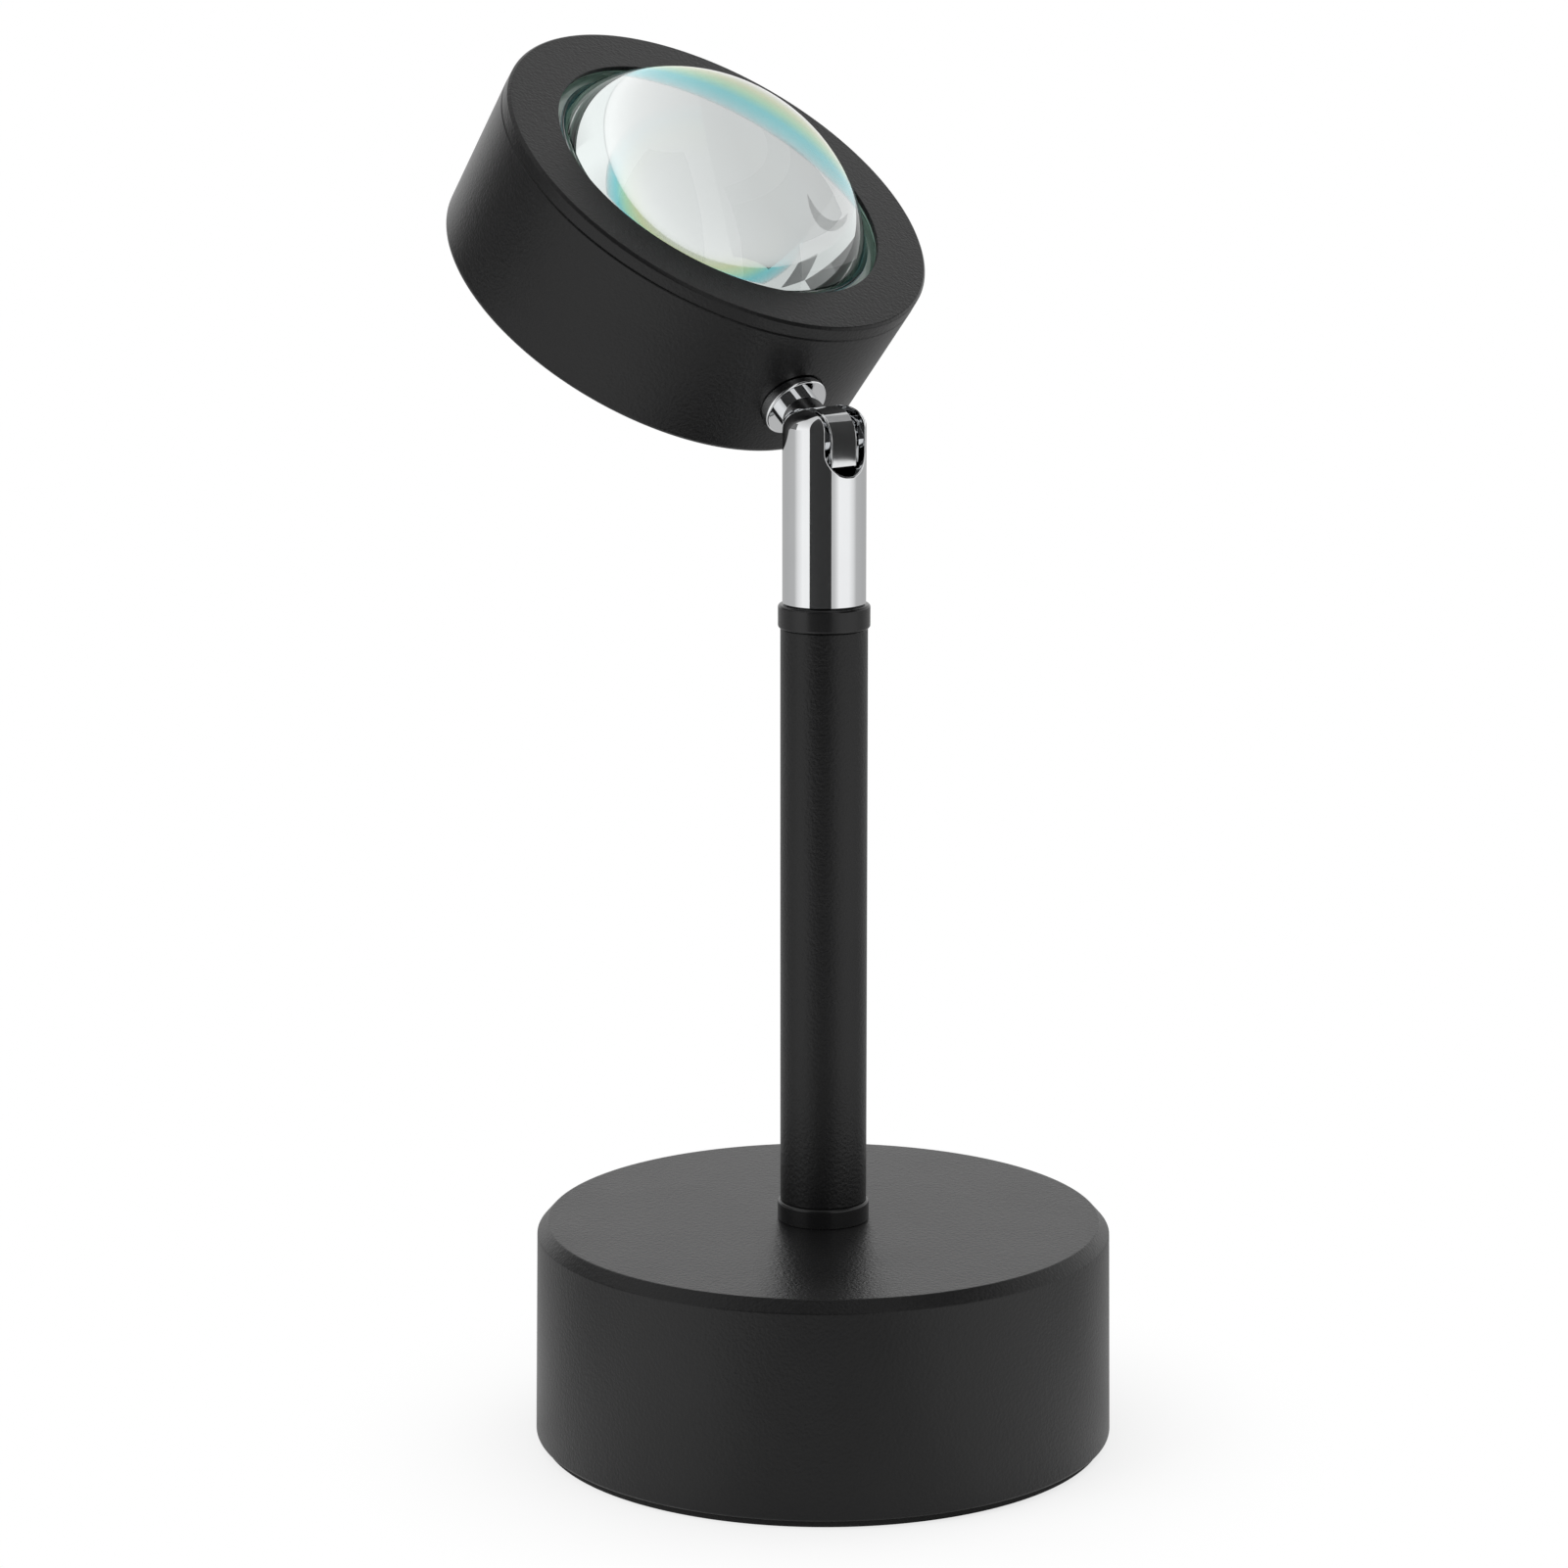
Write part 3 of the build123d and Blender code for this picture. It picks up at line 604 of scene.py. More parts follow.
def outline(corners: Sequence[Corner], closed: bool = True) -> list[tuple[float, float]]:
    """Points of an outline with its corners rounded.

    Args:
        corners: the corners in order.
        closed: whether the last corner joins the first.

    Returns:
        Pairs of radius and distance along the axis, in millimetres.
    """
    points = []
    for number, corner in enumerate(corners):
        before = corners[number - 1]
        after = corners[(number + 1) % len(corners)]
        points.extend(corner_arc(before, corner, after))
    if closed:
        points.append(points[0])
    return points


def rod(radius: float, start: float, end: float, start_round: float = 0.0) -> list[tuple[float, float]]:
    """Outline of a plain rod or disc in millimetres, whose edge at the start may be rounded."""
    corners = [Corner(0, start), Corner(radius, start, start_round), Corner(radius, end), Corner(0, end)]
    return outline(corners, closed=False)


def new_object(name: str, data: bpy.types.ID) -> bpy.types.Object:
    """Puts a mesh, a lamp or a camera in the scene as an object at the origin.

    Args:
        name: the object's name.
        data: the mesh, lamp or camera.

    Returns:
        The object.
    """
    piece = bpy.data.objects.new(name, data)
    bpy.context.scene.collection.objects.link(piece)
    return piece


def settle(piece: bpy.types.Object) -> bpy.types.Object:
    """Turns a piece's modifiers into plain mesh.

    Args:
        piece: the object, with its modifiers live.

    Returns:
        The same object, with none left.
    """
    graph = bpy.context.evaluated_depsgraph_get()
    mesh = bpy.data.meshes.new_from_object(piece.evaluated_get(graph), depsgraph=graph)
    old = piece.data
    piece.modifiers.clear()
    piece.data = mesh
    bpy.data.meshes.remove(old)
    mesh.name = piece.name
    return piece


def close_up(mesh: bpy.types.Mesh, merge: float = MERGE) -> None:
    """Merges doubled points of a mesh and points its faces outwards.

    Args:
        mesh: the mesh to mend.
        merge: the merge distance in metres.
    """
    work = bmesh.new()
    work.from_mesh(mesh)
    bmesh.ops.remove_doubles(work, verts=work.verts, dist=merge)
    bmesh.ops.dissolve_degenerate(work, edges=work.edges, dist=merge / 2)
    bmesh.ops.recalc_face_normals(work, faces=work.faces)
    work.to_mesh(mesh)
    work.free()


def smooth_by_angle(mesh: bpy.types.Mesh, crease: float = CREASE) -> None:
    """Shades a mesh smooth, with creases left where it bends sharply.

    Args:
        mesh: the mesh to shade.
        crease: the sharpest bend that is still smooth.
    """
    work = bmesh.new()
    work.from_mesh(mesh)
    for face in work.faces:
        face.smooth = True
    for edge in work.edges:
        edge.smooth = len(edge.link_faces) == 2 and edge.calc_face_angle() < crease
    work.to_mesh(mesh)
    work.free()


def even_normals(piece: bpy.types.Object) -> bpy.types.Object:
    """Lets large faces rule the shading, so that flats stay flat beside their rounds.

    Args:
        piece: the object to shade.

    Returns:
        The same object, with plain mesh.
    """
    weigh = piece.modifiers.new("EvenNormals", "WEIGHTED_NORMAL")
    weigh.keep_sharp = True
    return settle(piece)


def carve(piece: bpy.types.Object, cutter: bpy.types.Object) -> None:
    """Cuts one piece out of another and removes the cutter.

    Args:
        piece: the object that is cut.
        cutter: the object that cuts it.
    """
    cut = piece.modifiers.new("Cut", "BOOLEAN")
    cut.operation = "DIFFERENCE"
    cut.solver = "EXACT"
    cut.object = cutter
    settle(piece)
    bpy.data.objects.remove(cutter)
    smooth_by_angle(piece.data)


def box_mm(node: str) -> tuple[Vector, Vector]:
    """A node's lowest and highest corners at rest, in millimetres."""
    low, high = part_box(node)
    return low / MM, high / MM


def fold_hinge() -> Sequence[float]:
    """The fold hinge's place, in metres."""
    return next(joint["pos_m"] for joint in frame["joints"] if joint["name"] == FOLD_JOINT)


# Sub-assemblies


@dataclass
class Assembly:
    """What the sub-assemblies share: one body, and the ways in which its pieces are made and fitted.

    Attributes:
        shop: the shared trees and finishes.
    """

    shop: Shop
    body: ClassVar[Body]

    def turn(
        self, name: str, slot: str, points: Iterable[tuple[float, float]],
        place: Matrix = STEM_AXIS, cut: Cut = Cut.LARGE,
    ) -> bpy.types.Object:
        """Makes a turned piece from its outline.

        Args:
            name: the piece's name.
            slot: the record's material slot.
            points: pairs of radius and distance along the axis, in millimetres.
            place: where the turning axis lies, in millimetres.
            cut: how finely it is divided.

        Returns:
            The piece as a plain mesh.
        """
        mesh = bpy.data.meshes.new(f"{name}_outline")
        line = [(radius * MM, 0.0, along * MM) for radius, along in points]
        mesh.from_pydata(line, [(i, i + 1) for i in range(len(line) - 1)], [])
        piece = new_object(name, mesh)
        lathe = piece.modifiers.new("Turned", "NODES")
        lathe.node_group = self.shop.turning
        sockets = {item.name: item.identifier for item in self.shop.turning.interface.items_tree}
        lathe[sockets["Divisions"]] = cut.value
        lathe[sockets["Finish"]] = self.shop.finish[slot]
        settle(piece)
        placed = place.copy()
        placed.translation = place.translation * MM
        piece.data.transform(placed)
        close_up(piece.data)
        return piece

    def smoothed(self, name: str, node: str, slot: str) -> bpy.types.Object:
        """Copies a node of the frame as a merged, smoothly shaded piece.

        Args:
            name: the piece's name.
            node: the node to copy.
            slot: the record's material slot.

        Returns:
            The copy.
        """
        mesh = frame["nodes"][node].data.copy()
        piece = new_object(name, mesh)
        mesh.materials.clear()
        mesh.materials.append(self.shop.finish[slot])
        close_up(mesh)
        smooth_by_angle(mesh, COPY_CREASE)
        return even_normals(piece)

    def fit(self, piece: bpy.types.Object, node: str, slot: str) -> None:
        """Joins a finished piece to its body and hides the node that it stands for.

        Args:
            piece: the finished object.
            node: the node that it replaces.
            slot: the record's material slot; not used.
        """
        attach(piece, self.body.value)
        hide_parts(node)
        LOG.info("%s: %d faces on %s", piece.name, len(piece.data.polygons), self.body.value)

    def fit_turned(
        self, name: str, node: str, slot: str, points: Iterable[tuple[float, float]],
        place: Matrix = STEM_AXIS, cut: Cut = Cut.LARGE,
    ) -> None:
        """Makes a turned piece, as turn does, and fits it in place of a node."""
        self.fit(even_normals(self.turn(name, slot, points, place, cut)), node, slot)

    def fit_smoothed(self, name: str, node: str, slot: str) -> None:
        """Fits a smooth copy of a node, with the node's own shape."""
        self.fit(self.smoothed(name, node, slot), node, slot)


@dataclass
class Stand(Assembly):
    """The drum base, its pad and gland, and the stem with its collars. Sizes in millimetres."""

    body: ClassVar[Body] = Body.STAND
    draft: float = 0.45
    wall: float = 1.5
    shoulder_width: float = 1.6
    shoulder_height: float = 1.8
    rim_round: float = 0.5
    shoulder_round: float = 0.4
    nipple_bore: float = 4.02
    gland_height: float = 9.0
    gland_neck: float = 3.8
    pad_round: float = 0.3
    collar_round: float = 0.45
    collar_foot: float = 0.12
    spigot: float = 10.0
    spigot_gap: float = 0.02
    pole_wall: float = 1.2
    pole_edge: float = 0.2
    stud_bore: float = 3.05

    def build(self) -> None:
        """Builds every piece that stands still."""
        self.base_shell()
        self.foot_pad()
        self.cord_gland()
        self.stem()

    def base_shell(self) -> None:
        """Builds the drum with its flat shoulder, open underneath, and its hole for the gland."""
        low, high = box_mm("base_shell")
        rim, foot, top = high.x, low.z, high.z
        side = rim - self.draft
        crown = side - self.shoulder_width
        corners = [
            Corner(rim, foot, self.rim_round),
            Corner(side, top - self.shoulder_height, self.shoulder_round),
            Corner(crown, top, self.shoulder_round),
            Corner(self.nipple_bore, top),
            Corner(self.nipple_bore, top - self.wall),
            Corner(crown - self.wall / 2, top - self.wall),
            Corner(side - self.wall, top - self.shoulder_height - self.wall / 2),
            Corner(rim - self.wall, foot),
        ]
        shell = self.turn("drum_shell", "black_paint", outline(corners))
        rear = Matrix.Translation((0, 0, self.gland_height)) @ Matrix.Rotation(-math.pi / 2, 4, "X")
        hole = rod(self.gland_neck, rim - 3 * self.wall, rim + self.wall)
        carve(shell, self.turn("gland_cut", "black_paint", hole, rear, Cut.SMALL))
        self.fit(even_normals(shell), "base_shell", "black_paint")

    def foot_pad(self) -> None:
        """Builds the thin pad under the drum."""
        low, high = box_mm("foot_pad")
        disc = rod(high.x, low.z, high.z, self.pad_round)
        self.fit_turned("rubber_foot", "foot_pad", "foot_rubber", disc)

    def cord_gland(self) -> None:
        """Smooths the rubber gland in the rear wall."""
        self.fit_smoothed("rubber_gland", "cord_gland", "gland_rubber")

    def stem(self) -> None:
        """Builds the tube and the turned collar at each of its ends."""
        low, high = box_mm("pole_tube")
        bottom, lower = box_mm("lower_collar")
        upper = box_mm("upper_collar")[1]
        bore = high.x - self.pole_wall
        plug = bore - self.spigot_gap
        tube = [
            Corner(bore, low.z), Corner(high.x, low.z, self.pole_edge),
            Corner(high.x, high.z, self.pole_edge), Corner(bore, high.z),
        ]
        foot_ring = [
            Corner(self.nipple_bore, bottom.z), Corner(lower.x, bottom.z, self.collar_foot),
            Corner(lower.x, low.z, self.collar_round), Corner(plug, low.z),
            Corner(plug, low.z + self.spigot), Corner(self.nipple_bore, low.z + self.spigot),
        ]
        top_ring = [
            Corner(self.stud_bore, high.z - self.spigot), Corner(plug, high.z - self.spigot),
            Corner(plug, high.z), Corner(upper.x, high.z, self.collar_round),
            Corner(upper.x, upper.z, self.collar_round), Corner(self.stud_bore, upper.z),
        ]
        for name, node, slot, corners in (
            ("stem_tube", "pole_tube", "black_paint", tube),
            ("stem_foot_ring", "lower_collar", "black_collar", foot_ring),
            ("stem_top_ring", "upper_collar", "black_collar", top_ring),
        ):
            self.fit_turned(name, node, slot, outline(corners), cut=Cut.SMALL)


@dataclass(frozen=True)
class SlotRow:
    """One row of the slotted sleeve, from its foot over the crown.

    Attributes:
        spread: share of the slot's half width at this row.
        drop: share of the half width by which the row lies under the slot's centre.
        rise: further height above the slot's centre, in millimetres.
        arch: angle over the crown, from the side to the top.
    """

    spread: float
    drop: float
    rise: float = 0.0
    arch: float = 0.0


@dataclass
class Swivel(Assembly):
    """The round-topped chrome sleeve with its slot, and the hinge inside it. Sizes in millimetres."""

    body: ClassVar[Body] = Body.SWIVEL
    wall: float = 1.18
    foot_edge: float = 0.25
    crown_height: float = 30.87
    crown_radius: float = 10.1
    crown_shoulder: float = 2.95
    slot_half: float = 3.8
    slot_drop: float = 1.3
    slot_edge: float = 0.22
    pin_inset: float = 0.06
    around: int = 36
    under_steps: int = 8
    edge_steps: int = 4
    bend_steps: int = 14
    side_steps: int = 4
    crown_steps: int = 30

    def build(self) -> None:
        """Builds every piece that turns with the sleeve."""
        low, high = box_mm("swivel_sleeve")
        self.foot = low.z
        self.radius = high.x
        self.hinge = fold_hinge()[2] / MM
        self.crown = self.foot + self.crown_height - self.crown_radius
        self.bend = self.radius - self.crown_shoulder
        self.between = self.crown_radius - self.crown_shoulder
        self.shoulder = self.crown + math.sqrt(self.between**2 - self.bend**2)
        self.sleeve()
        self.hinge_pieces()

    def rows(self, half: float) -> tuple[list[SlotRow], list[SlotRow]]:
        """Lays out the sleeve's rows.

        Args:
            half: half the slot's width.

        Returns:
            The rows under the slot, and those beside it up to the top of the crown.
        """
        centre = self.hinge - self.slot_drop
        depth = centre - half - self.foot - self.foot_edge
        under, beside = [], []
        for step in range(self.under_steps + 1):
            under.append(SlotRow(0.0, 1.0, -depth * (1 - step / self.under_steps)))
        for step in range(self.bend_steps + 1):
            turn = math.pi / 2 * (1 - step / self.bend_steps)
            beside.append(SlotRow(math.cos(turn), math.sin(turn)))
        rise = self.shoulder - centre
        for step in range(1, self.side_steps):
            beside.append(SlotRow(1.0, 0.0, rise * step / self.side_steps))
        for step in range(self.crown_steps + 1):
            beside.append(SlotRow(1.0, 0.0, rise, math.pi / 2 * step / self.crown_steps))
        return under, beside

    def crown_level(self, spread: float, inset: float) -> float:
        """Height of the crown over a point.

        Args:
            spread: the point's distance from the sleeve's axis.
            inset: how far the layer lies inside the sleeve's skin.

        Returns:
            The height in millimetres.
        """
        if spread > self.bend * (self.crown_radius - inset) / self.between:
            reach = (self.crown_shoulder - inset) ** 2 - (spread - self.bend) ** 2
            return self.shoulder + math.sqrt(max(reach, 0.0))
        return self.crown + math.sqrt((self.crown_radius - inset) ** 2 - spread**2)

    def spot(self, row: SlotRow, half: float, across: float, inset: float) -> Vector:
        """Places a point of a row.

        Args:
            row: the row.
            half: half the slot's width at this layer.
            across: the point's X.
            inset: how far it lies inside the sleeve's skin.

        Returns:
            The point in metres, on the front right quarter.
        """
        out = math.sqrt(max((self.radius - inset) ** 2 - across**2, 0.0)) * math.cos(row.arch)
        level = self.hinge - self.slot_drop - half * row.drop + row.rise
        if row.arch > 0:
            level = self.crown_level(math.hypot(across, out), inset)
        return Vector((across, -out, level)) * MM

    def skin(self, rows: Sequence[SlotRow], inset: float, half: float) -> list[list[Vector]]:
        """Points of a round skin from the slot's edge to the side of the sleeve.

        Args:
            rows: the rows to follow.
            inset: how far the skin lies inside the outer one.
            half: half the slot's width at the skin.

        Returns:
            One list of points for each row.
        """
        radius = self.radius - inset
        made = []
        for row in rows:
            start = math.asin(half * row.spread / radius)
            turns = [start + (math.pi / 2 - start) * step / self.around for step in range(self.around + 1)]
            made.append([self.spot(row, half, radius * math.sin(turn), inset) for turn in turns])
        return made

    def cheek(self, rows: Sequence[SlotRow]) -> list[list[Vector]]:
        """Points of the slot's wall, from the rounded outer edge to the bore.

        Args:
            rows: the rows beside the slot.

        Returns:
            One list of points for each row.
        """
        wide = self.slot_half + self.slot_edge
        made = []
        for row in rows:
            edge_x, wall_x = wide * row.spread, self.slot_half * row.spread
            edge = self.spot(row, wide, edge_x, 0.0)
            crest = self.spot(row, self.slot_half, wall_x, 0.0)
            inner = self.spot(row, self.slot_half, wall_x, self.slot_edge)
            line = []
            for step in range(self.edge_steps + 1):
                share = step / self.edge_steps
                near, far = (1 - share) ** 2, share**2
                line.append(edge * near + crest * (1 - near - far) + inner * far)
            line.append(self.spot(row, self.slot_half, wall_x, (self.slot_edge + self.wall) / 2))
            line.append(self.spot(row, self.slot_half, wall_x, self.wall))
            made.append(line)
        return made

    def ring(self, radius: float, height: float) -> list[tuple]:
        """Quarter ring of points in metres, at a radius and a height in millimetres."""
        turns = [math.pi / 2 * step / self.around for step in range(self.around + 1)]
        return [(radius * math.sin(t) * MM, -radius * math.cos(t) * MM, height * MM) for t in turns]

    def sleeve(self) -> None:
        """Builds the sleeve from one quarter, mirrored front to back and side to side."""
        bore = self.radius - self.wall
        wide = self.slot_half + self.slot_edge
        under, beside = self.rows(wide)
        inner_under, inner_beside = self.rows(self.slot_half)
        outside = [self.ring(self.radius - self.foot_edge, self.foot)]
        outside += self.skin([*under, *beside[1:]], 0.0, wide)
        inside = [self.ring(bore, self.foot)]
        inside += self.skin([*inner_under, *inner_beside[1:]], self.wall, self.slot_half)
        foot = [self.ring(bore, self.foot), self.ring(self.radius - self.foot_edge, self.foot)]
        points, faces = [], []
        for patch in (outside, inside, foot, self.cheek(beside)):
            for flip_x in (1, -1):
                for flip_y in (1, -1):
                    base, width = len(points), len(patch[0])
                    points += [(x * flip_x, y * flip_y, z) for line in patch for x, y, z in line]
                    for row in range(len(patch) - 1):
                        for column in range(width - 1):
                            first = base + row * width + column
                            faces.append((first, first + 1, first + width + 1, first + width))
        mesh = bpy.data.meshes.new("slotted_sleeve")
        mesh.from_pydata(points, [], faces)
        mesh.materials.append(self.shop.finish["chrome"])
        close_up(mesh)
        smooth_by_angle(mesh)
        self.fit(even_normals(new_object("slotted_sleeve", mesh)), "swivel_sleeve", "chrome")

    def hinge_pieces(self) -> None:
        """Builds the pin, whose ends stay just under the skin, and smooths the washers."""
        low, high = box_mm("hinge_pin")
        radius = (high.z - low.z) / 2
        end = high.x - self.wall + self.pin_inset
        place = Matrix.Translation((0, 0, self.hinge)) @ Matrix.Rotation(math.pi / 2, 4, "Y")
        self.fit_turned("fold_pin", "hinge_pin", "chrome", rod(radius, -end, end), place, Cut.SMALL)
        self.fit_smoothed("fold_washers", "hinge_washers", "chrome")


@dataclass
class Head(Assembly):
    """The folding head: knuckle, casing, bezel, lens and film. Sizes in millimetres.

    Depths are along the head's axis from the bezel's front face, and lengths along the neck from
    its root beside the hinge.
    """

    body: ClassVar[Body] = Body.HEAD
    lean: float = 54.6
    twist: float = 6.8
    setback: float = 14.8
    radius: float = 35.86
    back_radius: float = 34.94
    depth: float = 25.84
    casing_wall: float = 2.0
    casing_back: float = 3.0
    back_round: float = 1.2
    bezel: float = 2.45
    bezel_ring: float = 8.48
    bezel_lip: float = 0.75
    bezel_edge: float = 0.42
    bezel_spigot: float = 8.5
    edge_round: float = 0.25
    bore_round: float = 0.12
    seam: float = 0.2
    spigot_gap: float = 0.02
    dome_radius: float = 26.1
    dome_height: float = 14.72
    dome_foot: float = 0.3
    lens_radius: float = 28.4
    lens_flange: float = 2.5
    lens_bevel: float = 0.25
    lens_boss: float = 0.53
    lens_steps: int = 90
    cell_gap: float = 0.15
    seal: float = 0.52
    seal_lap: float = 2.1
    seal_inset: float = 0.2
    seal_gap: float = 0.04
    film_gap: float = 0.05
    film_thickness: float = 0.8
    film_play: float = 0.3
    neck_offset: float = 0.65
    heel_low: tuple[float, float] = (-4.95, -3.45)
    heel_high: tuple[float, float] = (-4.45, -3.15)
    heel_drop: float = 0.45
    flange_radius: float = 5.25
    flange_start: float = 7.84
    flange_thickness: float = 2.0
    flange_round: float = 0.35
    stud_bore: float = 2.52
    seat_margin: float = 0.25
    seat_relief: float = 0.05

    def build(self) -> None:
        """Builds every piece that folds with the head."""
        self.lay_axes()
        self.lay_cell()
        self.neck_pieces()
        self.casing()
        self.front()
        self.lens()
        self.gasket()
        self.film()
        self.light_source()

    def lay_axes(self) -> None:
        """Works out the neck's and the head's places from the hinge."""
        hinge = Vector(fold_hinge()) / MM
        lean, twist = math.radians(self.lean), math.radians(self.twist)
        pin = Vector((1, 0, 0))
        neck = Vector((0, math.sin(lean), math.cos(lean)))
        fold = Vector((0, -math.cos(lean), math.sin(lean)))
        axis = fold * math.cos(twist) + pin * math.sin(twist)
        seat = self.flange_radius + self.seat_margin
        taper = (self.radius - self.back_radius) / (self.depth - self.bezel)
        at_neck = self.radius - taper * (self.setback - self.bezel)
        self.seat_start = self.flange_start + self.flange_thickness
        reach = self.seat_start + math.sqrt(at_neck**2 - seat**2) - self.seat_relief
        root = hinge - fold * self.neck_offset
        face = root + neck * reach + axis * self.setback
        self.axes = {"neck": self.placed(root, pin, neck), "head": self.placed(face, -neck, axis)}

    def lay_cell(self) -> None:
        """Works out where the lens, its gasket and the film sit behind the bezel's face."""
        self.lens_seat = -(self.bezel_lip + self.seal)
        self.lens_back = self.lens_seat - self.lens_flange
        self.boss = self.lens_back - self.lens_boss
        self.hold = self.lens_radius - self.seal_lap
        self.film_edge = self.hold - self.film_play
        self.film_end = self.lens_back - self.film_thickness

    @staticmethod
    def placed(origin: Vector, across: Vector, along: Vector) -> Matrix:
        """Frame at a point.

        Args:
            origin: the point, in millimetres.
            across: the direction of its X axis.
            along: the direction of its Z axis.

        Returns:
            The frame as a matrix.
        """
        side = along.cross(across)
        turn = Matrix((across, side, along)).transposed().to_4x4()
        return Matrix.Translation(origin) @ turn

    def neck_pieces(self) -> None:
        """Smooths the knuckle, draws its heel's bevel in and builds the flange between neck and casing."""
        knuckle = self.smoothed("fold_knuckle", "knuckle", "chrome")
        hinge = Vector(fold_hinge())
        for vertex in knuckle.data.vertices:
            spot = ((vertex.co - hinge) / MM).yz
            if all(low < at < high for low, at, high in zip(self.heel_low, spot, self.heel_high)):
                vertex.co.z -= self.heel_drop * MM
        self.fit(knuckle, "knuckle", "chrome")
        corners = [
            Corner(self.stud_bore, self.flange_start),
            Corner(self.flange_radius, self.flange_start, self.flange_round),
            Corner(self.flange_radius, self.seat_start, self.flange_round / 2),
            Corner(self.stud_bore, self.seat_start),
        ]
        self.fit_turned(
            "neck_collar", "neck_flange", "chrome", outline(corners), self.axes["neck"], Cut.SMALL
        )

    def casing(self) -> None:
        """Builds the cup with its rounded back and the flat seat for the neck."""
        bore = self.back_radius - self.casing_wall
        corners = [
            Corner(0, self.casing_back - self.depth),
            Corner(bore, self.casing_back - self.depth),
            Corner(bore, -self.bezel),
            Corner(self.radius - self.seam, -self.bezel),
            Corner(self.radius, -self.bezel - self.seam),
            Corner(self.back_radius, -self.depth, self.back_round),
            Corner(0, -self.depth),
        ]
        cup = self.turn("head_cup", "black_paint", outline(corners, closed=False), self.axes["head"])
        seat = rod(self.flange_radius + self.seat_margin, self.flange_start, self.seat_start)
        carve(cup, self.turn("seat_cut", "black_paint", seat, self.axes["neck"], Cut.SMALL))
        self.fit(even_normals(cup), "head_casing", "black_paint")

    def front(self) -> None:
        """Builds the ring bezel with the cell behind its lip."""
        bore = self.radius - self.bezel_ring
        spigot = self.back_radius - self.casing_wall - self.spigot_gap
        cell = self.lens_radius + self.seal + self.cell_gap
        end = -self.bezel_spigot
        corners = [
            Corner(bore, 0, self.bore_round),
            Corner(self.radius - self.bezel_edge, 0, self.edge_round),
            Corner(self.radius, -self.bezel_edge, self.edge_round),
            Corner(self.radius, self.seam - self.bezel),
            Corner(self.radius - self.seam, -self.bezel),
            Corner(spigot, -self.bezel),
            Corner(spigot, end),
            Corner(cell, end),
            Corner(cell, -self.bezel_lip),
            Corner(bore, -self.bezel_lip),
        ]
        self.fit_turned("ring_bezel", "front_bezel", "black_paint", outline(corners), self.axes["head"])

    def lens(self) -> None:
        """Builds the domed lens with its flange and the raised middle of its back."""
        sphere = (self.dome_radius**2 + self.dome_height**2) / (2 * self.dome_height)
        centre = self.lens_seat + self.dome_height - sphere
        widest = math.asin((self.dome_radius - self.dome_foot / 2) / sphere)
        points = []
        for step in range(self.lens_steps + 1):
            turn = widest * step / self.lens_steps
            points.append((sphere * math.sin(turn), centre + sphere * math.cos(turn)))
        points += [
            (self.dome_radius + self.dome_foot / 4, self.lens_seat + self.dome_foot / 8),
            (self.dome_radius + self.dome_foot, self.lens_seat),
            (self.lens_radius, self.lens_seat),
            (self.lens_radius, self.lens_back + self.lens_bevel),
            (self.lens_radius - self.lens_bevel, self.lens_back),
            (self.film_edge, self.lens_back),
            (self.film_edge, self.boss),
            (0.0, self.boss),
        ]
        lens = self.turn("convex_lens", "lens_glass", points, self.axes["head"])
        # Clear glass casts no shadow, so that light reaches the gasket and the film behind it.
        lens.visible_shadow = False
        self.fit(even_normals(lens), "lens", "lens_glass")

    def gasket(self) -> None:
        """Builds the channel-shaped gasket that holds the lens's flange."""
        mouth = self.radius - self.bezel_ring + self.seal_inset
        outside = self.lens_radius + self.seal
        groove = self.lens_radius + self.seal_gap
        front = self.lens_seat + self.seal_gap
        back = self.lens_back - self.seal_gap
        channel = [
            Corner(mouth, -self.bezel_lip), Corner(outside, -self.bezel_lip),
            Corner(outside, self.film_end), Corner(self.hold, self.film_end),
            Corner(self.hold, back), Corner(groove, back), Corner(groove, front), Corner(mouth, front),
        ]
        self.fit_turned("lens_seal", "lens_gasket", "gasket_silicone", outline(channel), self.axes["head"])

    def film(self) -> None:
        """Builds the film's disc behind the lens."""
        disc = rod(self.film_edge, self.boss - self.film_gap, self.film_end)
        self.fit_turned("colour_film", "filter_disc", "colour_filter", disc, self.axes["head"])

    def light_source(self) -> None:
        """Smooths the funnel and the emitter behind the film."""
        self.fit_smoothed("light_funnel", "light_baffle", "white_plastic")
        self.fit_smoothed("emitter_chip", "led_emitter", "emitter_phosphor")


# Studio


OVERHEAD = 1.2
FLAG_DISTANCE = 0.13
FLAG_TOP = 0.295


@dataclass(frozen=True)
class Card:
    """A card, upright or lying overhead, that the lamp shows but the camera doesn't. Sizes in metres.

    Attributes:
        name: the card's name.
        path: the points in plan that an upright card follows, or the outline of one overhead.
        levels: heights of its lower and upper edges; one height for a card overhead.
        tone: its grey.
        metal: whether it shows in metal, in paint and on the face of glass.
        glass: whether it shows through glass.
    """

    name: str
    path: tuple[tuple[float, float], ...]
    levels: tuple[float, ...]
    tone: float
    metal: bool = True
    glass: bool = False

    def mesh(self) -> bpy.types.Mesh:
        """Builds the card's faces.

        Returns:
            The mesh.
        """
        points = [(x, y, level) for x, y in self.path for level in self.levels]
        faces = [tuple(range(len(points)))]
        if len(self.levels) > 1:
            faces = [(i, i + 2, i + 3, i + 1) for i in range(0, len(points) - 2, 2)]
        mesh = bpy.data.meshes.new(self.name)
        mesh.from_pydata(points, [], faces)
        return mesh


